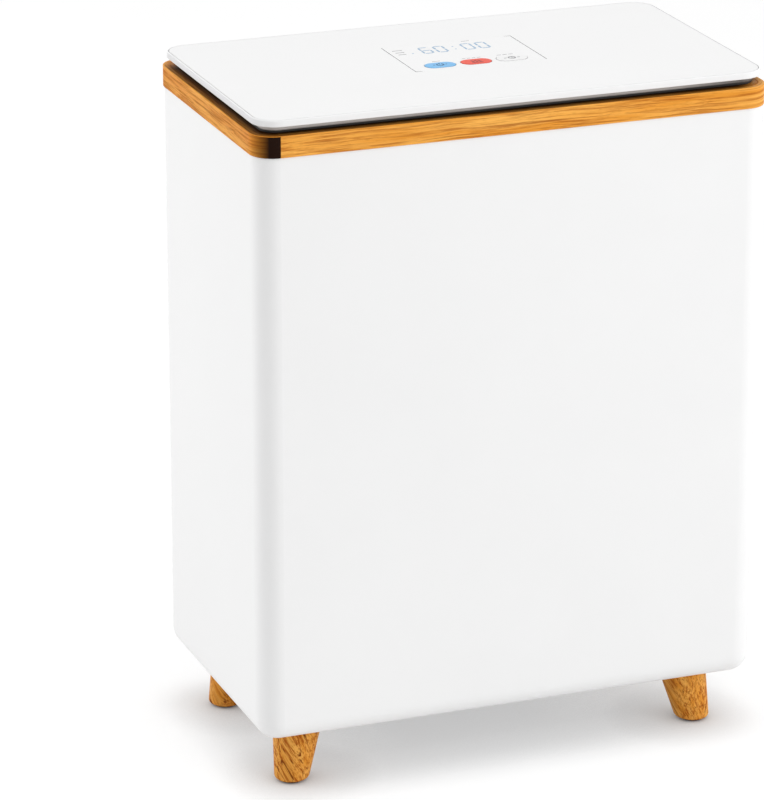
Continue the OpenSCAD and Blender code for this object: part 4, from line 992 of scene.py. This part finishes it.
class WARMER_OT_lid_neck(bpy.types.Operator):
    """Dark tray under the plate, with a skirt over the ring, its rubber seal and its metal liner"""
    bl_idname = "warmer.lid_neck"
    bl_label = "Lid neck"

    def execute(self, context):
        look = context.scene.lid_settings
        made = mesh_object("neck", block(*NECK, NECK_Z0, PLATE_UNDER, 0.8))
        skirt = mesh_object("skirt_tool", block(*SKIRT, SKIRT_Z0, PLATE_UNDER, 0.3))
        cut(skirt, [block(500, 300, 0.2, SKIRT_Z0 - 5, PLATE_UNDER + 5, at=(0, SKIRT_END + 150), n=2)])
        combine(made, skirt, "UNION")
        inner = (NECK[0] - 2 * NECK_WALL, NECK[1] - 2 * NECK_WALL, NECK[2] - 1)
        holes = [block(*inner, NECK_FLOOR, PLATE_UNDER + 1, 0.6, n=6)]
        holes += [rod(SCREW_PASS_R, NECK_Z0 - 1, NECK_FLOOR + 1, at, 24) for at in NECK_POSTS]
        across = Matrix.Translation(LEAD_HOLE) @ Matrix.Rotation(math.radians(90), 4, "X")
        holes.append(turned(rod(1.5, -4, 4, n=24), across))
        cut(made, holes)
        place(made, "lid", "neck_black", ["lid_neck"], neck_black(look))

        s = 1.6
        levels = edge_round(*SEAL, s, SEAL_Z0 + s, s, -90, 0, 5, n=6)
        for below, inset in ((1.6, 0), (1.2, 0.5), (0.8, 0), (0, 0), (0, SEAL_W)):
            levels.append(level(*SEAL, NECK_Z0 - below, inset, n=6))
        levels += edge_round(*SEAL, SEAL_W - s, SEAL_Z0 + s, s, 180, 270, 5, n=6)
        seal = mesh_object("seal", skin(levels, closed=True))
        place(seal, "lid", "seal_rubber", ["lid_seal"], rubber("seal rubber", (0.10, 0.10, 0.105)))

        levels = edge_round(*LINER, 0.4, LINER_Z0 + 0.4, 0.4, -90, 0, 3)
        levels.append(level(*LINER, NECK_Z0))
        liner = mesh_object("liner", skin(levels))
        cut(liner, [rod(SCREW_PASS_R, LINER_Z0 - 1, NECK_Z0 + 1, at, 24) for at in NECK_POSTS])
        place(liner, "lid", "liner_sheet", ["lid_liner"], metal("liner sheet", (0.72, 0.72, 0.71), 0.34))
        return {"FINISHED"}


def neck_black(look):
    """Black plastic with painted light: a paler grey close under the plate, less so towards the right end."""
    material, tree, shader, here = finish("neck black", 0.5)
    across, _, height = tree.parts(here)
    surface = effect(tree, "Moulded Skin", Vector=here, Scale=1.2)
    # Painted light: a paler band close under the plate, weaker towards the right end.
    painted_light = tree.fit(height, (PLATE_UNDER - PAINTED_LIGHT_FROM) * MM, (PLATE_UNDER - PAINTED_LIGHT_FULL) * MM)
    painted_light_fade = tree.fit(across, 0.13, 0.18, 1.0, 0.3)
    tone = tree.mix(tree.maths("MULTIPLY", painted_light, painted_light_fade), rgba(look.neck_black), rgba(look.neck_painted_light))
    lit_and_uneven = tree.mix(surface["Tone"], tone, tree.tint(tone, (0.85, 0.85, 0.85)))
    tree.feed(shader.inputs["Base Color"], lit_and_uneven)
    bump(tree, shader, surface["Height"], 0.00002)
    return material


# The panel and its keys

PANEL_Z1 = PANEL_HIGH.z
PRINT = 0.04
KEY_SIZE = (24, 14)
KEY_SPOTS = {"blue": (-21.6, -11.5), "red": (7.0, -11.5), "white": (35.6, -11.5)}
KEY_TOP = cad_box[1].z / MM
KEY_FLANGE = (1.25, 521.6, 522.6)
KEY_STEM = (1.5, 516.8)
KEY_EDGE = 0.3
KEY_DOME = 0.12
DOME_INSETS = (0.8, 1.6, 2.8, 4.4)


def slab(outline_points, z0, z1):
    """A closed flat piece between two heights."""
    return skin([[Vector((x, y, z)) for x, y in outline_points] for z in (z0, z1)])


def dash(x, y, w, h, z, turn=0.0):
    """A thin printed bar with round ends."""
    bar = block(w, h, min(w, h) / 2, 0, PRINT, n=4)
    return turned(bar, Matrix.Translation((x, y, z)) @ Matrix.Rotation(math.radians(turn), 4, "Z"))


def arc_band(x, y, r, width, start, end, z, n=20):
    """A thin printed part of a ring."""
    angles = [math.radians(start + (end - start) * i / n) for i in range(n + 1)]
    far, near = r + width / 2, r - width / 2
    outer = [(x + far * math.cos(a), y + far * math.sin(a)) for a in angles]
    inner = [(x + near * math.cos(a), y + near * math.sin(a)) for a in reversed(angles)]
    return slab(outer + inner, z, z + PRINT)


def key_sign(kind, x, y, z):
    """The small generic sign on a key."""
    if kind == "blue":
        return [arc_band(x, y, 2.5, 1.3, 125, 415, z), dash(x, y + 2.2, 1.2, 3.2, z),
                dash(x - 4.8, y, 1.6, 1.2, z), dash(x + 4.8, y, 1.6, 1.2, z)]
    if kind == "red":
        strokes = [dash(x + k * 2.7, y + 0.3, 1.3, 5.0, z, 14) for k in (-1, 0, 1)]
        return strokes + [dash(x, y - 3.4, 9, 1.2, z)]
    ring = [arc_band(x, y, 2.6, 1.0, 0, 359, z, 40)]
    return ring + [dash(x, y + 0.9, 0.8, 2.0, z), dash(x + 0.9, y, 2.0, 0.8, z),
                   dash(x - 5.2, y, 2.4, 1.0, z), dash(x + 5.2, y, 2.4, 1.0, z)]


class WARMER_OT_keys(bpy.types.Operator):
    """Three oval keys with their flanges, stems and signs"""
    bl_idname = "warmer.keys"
    bl_label = "Keys"

    def execute(self, context):
        look = context.scene.panel_settings
        white = context.scene.cabinet_settings.colour
        colours = {"blue": look.blue, "red": look.red, "white": white}
        prints = {"blue": (0.02, 0.10, 0.22), "red": (0.25, 0.01, 0.01), "white": (0.20, 0.20, 0.21)}
        grow, flange_z0, flange_z1 = KEY_FLANGE
        stem_r, stem_z0 = KEY_STEM
        w, d = KEY_SIZE
        for kind, at in KEY_SPOTS.items():
            top = KEY_TOP - PRINT
            rim = top - KEY_DOME
            levels = [level(2 * stem_r, 2 * stem_r, stem_r, z, at=at, guard=0) for z in (stem_z0, flange_z0)]
            for z in (flange_z0, flange_z1):
                levels.append(level(w + 2 * grow, d + 2 * grow, d / 2 + grow, z, at=at, guard=0))
            levels.append(level(w, d, d / 2, flange_z1, at=at, guard=0))
            levels += edge_round(w, d, d / 2, KEY_EDGE, rim - KEY_EDGE, KEY_EDGE, 0, 80, 4, at=at, guard=0)
            for inset in DOME_INSETS:
                share = 1 - inset / DOME_INSETS[-1]
                levels.append(level(w, d, d / 2, top - KEY_DOME * share * share, inset, at=at, guard=0))
            made = mesh_object(kind + "_oval_key", skin(levels), 50)
            place(made, kind + "_button", "key_" + kind, [kind + "_key"], key_finish(kind, colours[kind]))
            sign = mesh_object(kind + "_key_sign", joined(key_sign(kind, *at, top)))
            place(sign, kind + "_button", "key_" + kind, [], plastic(kind + " sign", prints[kind], 0.5))
        return {"FINISHED"}


def key_finish(kind, colour):
    """Coloured plastic, dark below the panel's face as painted shade in the gap round the key."""
    material, tree, shader, here = finish(kind + " key", 0.42, Specular_IOR_Level=0.2)
    surface = effect(tree, "Moulded Skin", Vector=here, Scale=1.0)
    height = tree.parts(here)[2]
    paint = tree.mix(surface["Tone"], rgba(colour, 0.96), rgba(colour, 1.04))
    # Painted shade in the gap round the key.
    painted_shade = tree.fit(height, (PANEL_Z1 - 0.1) * MM, (PANEL_Z1 + 0.1) * MM)
    tree.feed(shader.inputs["Base Color"], tree.mix(painted_shade, rgba([c * 0.08 for c in colour]), paint))
    bump(tree, shader, surface["Height"], 0.000005)
    return material


LINE_W = 0.5
LINE_HOOK = ((0, 0.2), (5.0, -0.35), (5.2, -0.1), (0, 0.9))


def panel_marks():
    """Short plain dashes where the real panel has small words, and its group of three at the left."""
    z = PANEL_Z1
    marks = [dash(-37.0, y, 8.0 - 0.8 * k, 1.0, z) for k, y in enumerate((37.5, 31.5, 26.0))]
    marks += [dash(-20.7, -0.6, 6.5, 0.8, z)]
    marks += [dash(x, -0.9, 3.0, 0.8, z) for x in (1.2, 5.2, 9.2, 13.2)]
    marks += [dash(x, -0.5, 3.6, 0.8, z) for x in (29.5, 34.2, 38.9)]
    marks += [dash(21, 46.2, 6.5, 0.8, z)]
    return marks


def seam_shade_strips():
    """Dark strips of painted shade in the gaps at the panel's sides, each with a short hook at one end."""
    lines = []
    y0, y1 = PANEL_LOW.y, PANEL_HIGH.y
    for x in (PANEL_LOW.x - LINE_W / 2, PANEL_HIGH.x + LINE_W / 2):
        lines.append(block(LINE_W, y1 - y0, 0.2, PANEL_Z0 + 0.2, PANEL_Z1 + 0.02, at=(x, (y0 + y1) / 2), n=3))
    for x, y, way in ((PANEL_LOW.x - LINE_W / 2, y0, 1), (PANEL_HIGH.x + LINE_W / 2, y1, -1)):
        hook = [(x + way * along, y + way * up) for along, up in LINE_HOOK]
        lines.append(slab(hook, PANEL_Z1, PANEL_Z1 + PRINT))
    return lines


class WARMER_OT_panel(bpy.types.Operator):
    """The flush panel with its side strips of painted seam shade, plain marks and lit digits"""
    bl_idname = "warmer.panel"
    bl_label = "Panel"

    def execute(self, context):
        look = context.scene.panel_settings
        white = context.scene.cabinet_settings.colour
        dress(plastic("panel white", white, 0.42, depth=0.000003, tint=0.996, Specular_IOR_Level=0.04),
              "control_panel")
        marks = mesh_object("panel_marks", joined(panel_marks()))
        place(marks, "lid", "panel_white", [], plastic("mark grey", (0.24, 0.24, 0.25), 0.5))
        lines = mesh_object("panel_side_lines", joined(seam_shade_strips()))
        place(lines, "lid", "panel_white", [], plastic("line dark", look.line, 0.5))
        dress(light_guide("digit blue", look.digit, 0.25), "segments_lit")
        dress(light_guide("digit off", [c * 0.99 for c in white], 0.0), "segments_unlit")
        dress(plastic("display white", (0.7, 0.7, 0.7), 0.5), "display_module")
        return {"FINISHED"}


def light_guide(name, colour, glow):
    """Clear-looking plastic that carries the light of a segment."""
    material, tree, shader, here = finish(name, 0.3, Emission_Strength=glow)
    surface = effect(tree, "Moulded Skin", Vector=here, Scale=2.0)
    tone = tree.mix(surface["Tone"], rgba(colour, 0.96), rgba(colour, 1.03))
    tree.feed(shader.inputs["Base Color"], tone)
    if glow:
        tree.feed(shader.inputs["Emission Color"], tone)
    return material


# The bucket

BUCKET = (360, 186, 14)
BUCKET_LOWER_R = 12
BUCKET_SHEET = 1.2
BUCKET_FLANGE = (381, 207, 8)


class WARMER_OT_bucket(bpy.types.Operator):
    """Drawn sheet bucket with its flange"""
    bl_idname = "warmer.bucket"
    bl_label = "Inner bucket"

    def execute(self, context):
        z0, z1, t = BUCKET_LOW.z, BUCKET_HIGH.z, BUCKET_SHEET
        r = BUCKET_LOWER_R
        levels = [level(*BUCKET, z0, r + 1)]
        levels += edge_round(*BUCKET, r, z0 + r, r, -90, 0, 8)
        levels.append(level(*BUCKET, z1 - t - 1))
        levels.append(level(*BUCKET, z1 - t))
        levels.append(level(*BUCKET_FLANGE, z1 - t))
        levels.append(level(*BUCKET_FLANGE, z1))
        mouth = 0.9
        levels += edge_round(*BUCKET, t - mouth, z1 - mouth, mouth, 90, 180, 5)
        levels += edge_round(*BUCKET, r, z0 + r, r - t, 0, -90, 8)
        levels.append(level(*BUCKET, z0 + t, r + 1))
        made = mesh_object("bucket", skin(levels))
        place(made, "cabinet", "bucket_sheet", ["inner_bucket"],
              metal("bucket sheet", (0.70, 0.70, 0.70), 0.36))
        return {"FINISHED"}


# Underneath and behind

COVER_W = COVER_HIGH.x - COVER_LOW.x
COVER_D = COVER_HIGH.y - COVER_LOW.y
COVER_Z0 = COVER_LOW.z
VENT_X = 95
BOARD_SPOTS = [(s * 69, e * 39) for s in (-1, 1) for e in (-1, 1)]
BOARD_Z0 = SHELL_Z0 + 12


class WARMER_OT_bottom_cover(bpy.types.Operator):
    """Service cover with its vents, its screw holes and the board's posts"""
    bl_idname = "warmer.bottom_cover"
    bl_label = "Bottom cover"

    def execute(self, context):
        made = mesh_object("service_cover", block(COVER_W, COVER_D, 12, COVER_Z0, SHELL_Z0, 0.8))
        cut(made, [rod(3.5, SHELL_Z0 - 0.5, BOARD_Z0, at, 24) for at in BOARD_SPOTS], "UNION")
        holes = [rod(1.8, COVER_Z0 - 1, SHELL_Z0 + 1, at, 24) for at in COVER_SPOTS]
        holes += [rod(1.3, BOARD_Z0 - 8, BOARD_Z0 + 1, at, 16) for at in BOARD_SPOTS]
        holes += [block(26, 3, 1.4, COVER_Z0 - 1, SHELL_Z0 + 1, at=(s * VENT_X, 9 * k), n=4, guard=0)
                  for s in (-1, 1) for k in range(-4, 5)]
        cut(made, holes)
        place(made, "cabinet", "cover_grey", ["bottom_cover"],
              plastic("cover grey", (0.60, 0.60, 0.61), 0.5, depth=0.00003, tint=0.97))
        return {"FINISHED"}


SOCKET = (24.4, 16.6, 16)
SOCKET_KEY = 4.2
INLET_BODY = (27.6, 19.8)
INLET_RIM = (31.6, 23.8)
BLADES = [(-7, -2), (7, -2), (0, 2)]


class WARMER_OT_power_inlet(bpy.types.Operator):
    """Three-pin mains inlet with a rounded rim and a keyed socket"""
    bl_idname = "warmer.power_inlet"
    bl_label = "Power inlet"

    def execute(self, context):
        upright = Matrix.Translation(INLET) @ Matrix.Rotation(math.radians(-90), 4, "X")
        rim = block(*INLET_RIM, 2.0, 0, 1, high=0.5)
        made = mesh_object("inlet_housing", turned(rim, upright))
        body = block(*INLET_BODY, 0.5, -18, 0.5)
        cut(made, [turned(body, upright)], "UNION")
        w, h, deep = SOCKET
        key = SOCKET_KEY
        keyed = [(-w / 2, h / 2), (-w / 2, -h / 2 + key), (-w / 2 + key, -h / 2), (w / 2 - key, -h / 2),
                 (w / 2, -h / 2 + key), (w / 2, h / 2)]
        holes = [turned(slab(keyed, 1 - deep, 3), upright)]
        holes += [turned(block(2, 4, 0.05, -19, 0, at=(x, -z), n=2), upright) for x, z in BLADES]
        cut(made, holes)
        place(made, "cabinet", "inlet_black", ["power_inlet"],
              plastic("inlet black", (0.02, 0.02, 0.021), 0.42, depth=0.00003, tint=0.9, dust=0.1))
        return {"FINISHED"}


class WARMER_OT_metalwork(bpy.types.Operator):
    """Hinges, pins, screws, studs, blades and the strap, as turned, stamped or plated metal"""
    bl_idname = "warmer.metalwork"
    bl_label = "Hinges and fasteners"

    def execute(self, context):
        steel = metal("steel", (0.62, 0.62, 0.61), 0.28)
        dress(steel, "hinge_base_left", "hinge_base_right", "hinge_lid_left", "hinge_lid_right",
              "hinge_pins", "hinge_base_screws", "hinge_lid_screws", "cover_screws", "frame_screws",
              "ring_screws", "board_screws", "neck_screws", "control_screws", "foot_studs",
              "inlet_blades", "sensor_bracket", "thermal_fuse")
        dress(metal("brass", (0.75, 0.52, 0.22), 0.3), "foot_inserts")
        return {"FINISHED"}


class WARMER_OT_inside(bpy.types.Operator):
    """The pieces between the cabinet and the bucket, and the electrics"""
    bl_idname = "warmer.inside"
    bl_label = "Inside"

    def execute(self, context):
        frame_grey = plastic("frame grey", (0.18, 0.18, 0.19), 0.55, depth=0.00003, tint=0.93)
        dress(frame_grey, "top_frame")
        wool = soft_fibre("wool", (0.80, 0.74, 0.60), (0.52, 0.46, 0.35))
        dress(wool, "insulation_wrap", "bottom_insulation")
        foam = soft_fibre("foam", (0.86, 0.84, 0.76), (0.66, 0.63, 0.54))
        dress(foam, "lid_foam")
        film = plastic("film", (0.55, 0.26, 0.05), 0.3, depth=0.00002, tint=0.9, Coat_Weight=0.5)
        dress(film, "heating_film")
        board = plastic("board", (0.02, 0.13, 0.05), 0.35, scale=3, tint=0.85, Coat_Weight=0.4)
        dress(board, "power_board", "control_board")
        component = plastic("component", (0.05, 0.05, 0.055), 0.5, scale=3, tint=0.85)
        dress(component, "board_components", "key_switches")
        sensor = plastic("sensor", (0.42, 0.30, 0.18), 0.5, scale=3, tint=0.85)
        dress(sensor, "thermostat", "temperature_sensor")
        dress(plastic("lead black", (0.02, 0.02, 0.02), 0.5, scale=2, tint=0.9), "mains_leads")
        dress(plastic("lead white", (0.75, 0.74, 0.70), 0.5, scale=2, tint=0.95), "heater_leads")
        lead_grey = plastic("lead grey", (0.22, 0.22, 0.23), 0.5, scale=2, tint=0.93)
        dress(lead_grey, "signal_harness", "lid_harness")
        return {"FINISHED"}


# The stage

# The floor reflects FLOOR_ALBEDO of the light. Where it is seen it keeps FLOOR_SHARE of that and glows by
# FLOOR_GLOW, less within FLOOR_REACH metres of what stands over it, which paints a shadow there.
FLOOR_ALBEDO = 0.85
FLOOR_SHARE = 0.50
FLOOR_GLOW = 0.63
FLOOR_REACH = 0.054
FLOOR_HALF = 7.0
FLOOR_TILES = 28

# The side of each square lamp and its place, in metres. The settings hold its power.
LAMPS = {
    "side_lamp": (2.4, (-2.6, 1.8, 1.3)),
    "right_lamp": (2.4, (2.9, -1.6, 1.3)),
    "front_lamp": (2.4, (1.6, -2.8, 1.3)),
    "top_lamp": (2.6, (0.0, -0.3, 3.2)),
}
LAMPS_AIM = Vector((0, 0, 0.28))


def lamp(name, power, size, at):
    """A soft square lamp that faces the object."""
    data = bpy.data.lights.new(name, "AREA")
    data.shape = "RECTANGLE"
    data.size = data.size_y = size
    data.energy = power
    made = bpy.data.objects.new(name, data)
    made.location = at
    made.rotation_euler = (LAMPS_AIM - Vector(at)).to_track_quat("-Z", "Y").to_euler()
    bpy.context.scene.collection.objects.link(made)


class WARMER_OT_stage(bpy.types.Operator):
    """Pale floor, soft lamps, even surroundings and the camera"""
    bl_idname = "warmer.stage"
    bl_label = "Stage"

    def execute(self, context):
        look = context.scene.stage_settings
        self.floor()
        self.surroundings(look.sky)
        for name, (size, at) in LAMPS.items():
            lamp(name, getattr(look, name), size, at)
        self.camera(look)
        return {"FINISHED"}

    def floor(self):
        """The floor, which looks white and keeps the object's shadow, partly from the light and partly painted
        by a weaker glow.
        """
        half, n = FLOOR_HALF, FLOOR_TILES
        points = [Vector((-half + 2 * half * i / n, -half + 2 * half * j / n, 0)) / MM
                  for j in range(n + 1) for i in range(n + 1)]
        faces = [(j * (n + 1) + i, j * (n + 1) + i + 1, (j + 1) * (n + 1) + i + 1, (j + 1) * (n + 1) + i)
                 for j in range(n) for i in range(n)]
        made = mesh_object("floor", (points, faces))
        material, tree, shader, here = finish("floor", 0.7)
        seen = tree.seen()
        uneven = tree.fit(tree.noise(here, 3.0), 0.3, 0.7, 0.98, 1.0)
        lit = tree.maths("MULTIPLY", uneven, tree.fit(seen, 0, 1, FLOOR_ALBEDO, FLOOR_ALBEDO * FLOOR_SHARE))
        tree.feed(shader.inputs["Base Color"], tree.add("CombineXYZ", {0: lit, 1: lit, 2: lit}).outputs[0])
        shader.inputs["Specular IOR Level"].default_value = 0.1
        # Painted shadow: the seen floor glows less where ambient occlusion finds something close over it.
        near = tree.add("AmbientOcclusion", {"Distance": FLOOR_REACH}, samples=4).outputs["AO"]
        shader.inputs["Emission Color"].default_value = (1, 1, 1, 1)
        glow = tree.maths("MULTIPLY", tree.maths("MULTIPLY", seen, near), FLOOR_GLOW)
        tree.feed(shader.inputs["Emission Strength"], glow)
        made.data.materials.append(material)

    def surroundings(self, strength):
        """Even light from all round, and a white backdrop."""
        world = bpy.data.worlds.new("surroundings")
        bpy.context.scene.world = world
        world.use_nodes = True
        tree = Tree(world.node_tree)
        for node in list(world.node_tree.nodes):
            world.node_tree.nodes.remove(node)
        seen = tree.seen()
        shade = tree.add("Background", {"Color": (1, 1, 1, 1), "Strength": tree.fit(seen, 0, 1, strength, 1.0)})
        tree.add("OutputWorld", {"Surface": shade.outputs[0]})

    def camera(self, look):
        """The camera at the photograph's angle."""
        data = bpy.data.cameras.new("camera")
        data.lens = look.lens
        data.sensor_width = 36
        data.clip_end = 60
        made = bpy.data.objects.new("camera", data)
        bpy.context.scene.collection.objects.link(made)
        yaw, pitch = look.yaw, look.pitch
        ahead = Vector((math.sin(yaw) * math.cos(pitch), math.cos(yaw) * math.cos(pitch), -math.sin(pitch)))
        right = Vector((math.cos(yaw), -math.sin(yaw), 0))
        up = right.cross(ahead)
        aim = Vector((0, 0, look.target[2])) + look.target[0] * right + look.target[1] * up
        turn = Matrix((right, up, -ahead)).transposed()
        made.matrix_world = Matrix.Translation(aim - look.distance * ahead) @ turn.to_4x4()
        bpy.context.scene.camera = made


class WARMER_PT_pieces(bpy.types.Panel):
    """Lists the steps that build the towel warmer"""
    bl_idname = "WARMER_PT_pieces"
    bl_label = "Towel warmer"
    bl_space_type = "VIEW_3D"
    bl_region_type = "UI"
    bl_category = "Towel warmer"

    def draw(self, context):
        """One button for each step, and the settings under them."""
        for step in STEPS:
            self.layout.operator(step.bl_idname)
        for name, kind in SETTINGS.items():
            box = self.layout.box()
            for field in kind.__annotations__:
                box.prop(getattr(context.scene, name), field)


STEPS = (
    WARMER_OT_stage,
    WARMER_OT_cabinet,
    WARMER_OT_wood_ring,
    WARMER_OT_feet,
    WARMER_OT_lid_plate,
    WARMER_OT_lid_neck,
    WARMER_OT_panel,
    WARMER_OT_keys,
    WARMER_OT_bucket,
    WARMER_OT_bottom_cover,
    WARMER_OT_power_inlet,
    WARMER_OT_metalwork,
    WARMER_OT_inside,
)


def register():
    """Adds the settings, the steps and the panel to Blender."""
    for name, kind in SETTINGS.items():
        bpy.utils.register_class(kind)
        setattr(bpy.types.Scene, name, PointerProperty(type=kind))
    for step in STEPS:
        bpy.utils.register_class(step)
    bpy.utils.register_class(WARMER_PT_pieces)


def unregister():
    """Takes them out again, in reverse."""
    bpy.utils.unregister_class(WARMER_PT_pieces)
    for step in reversed(STEPS):
        bpy.utils.unregister_class(step)
    for name, kind in SETTINGS.items():
        delattr(bpy.types.Scene, name)
        bpy.utils.unregister_class(kind)


def main():
    """Builds every piece in order."""
    register()
    bpy.context.scene.view_settings.view_transform = "Standard"
    for step in STEPS:
        area, action = step.bl_idname.split(".")
        getattr(getattr(bpy.ops, area), action)()


if __name__ == "__main__":
    main()
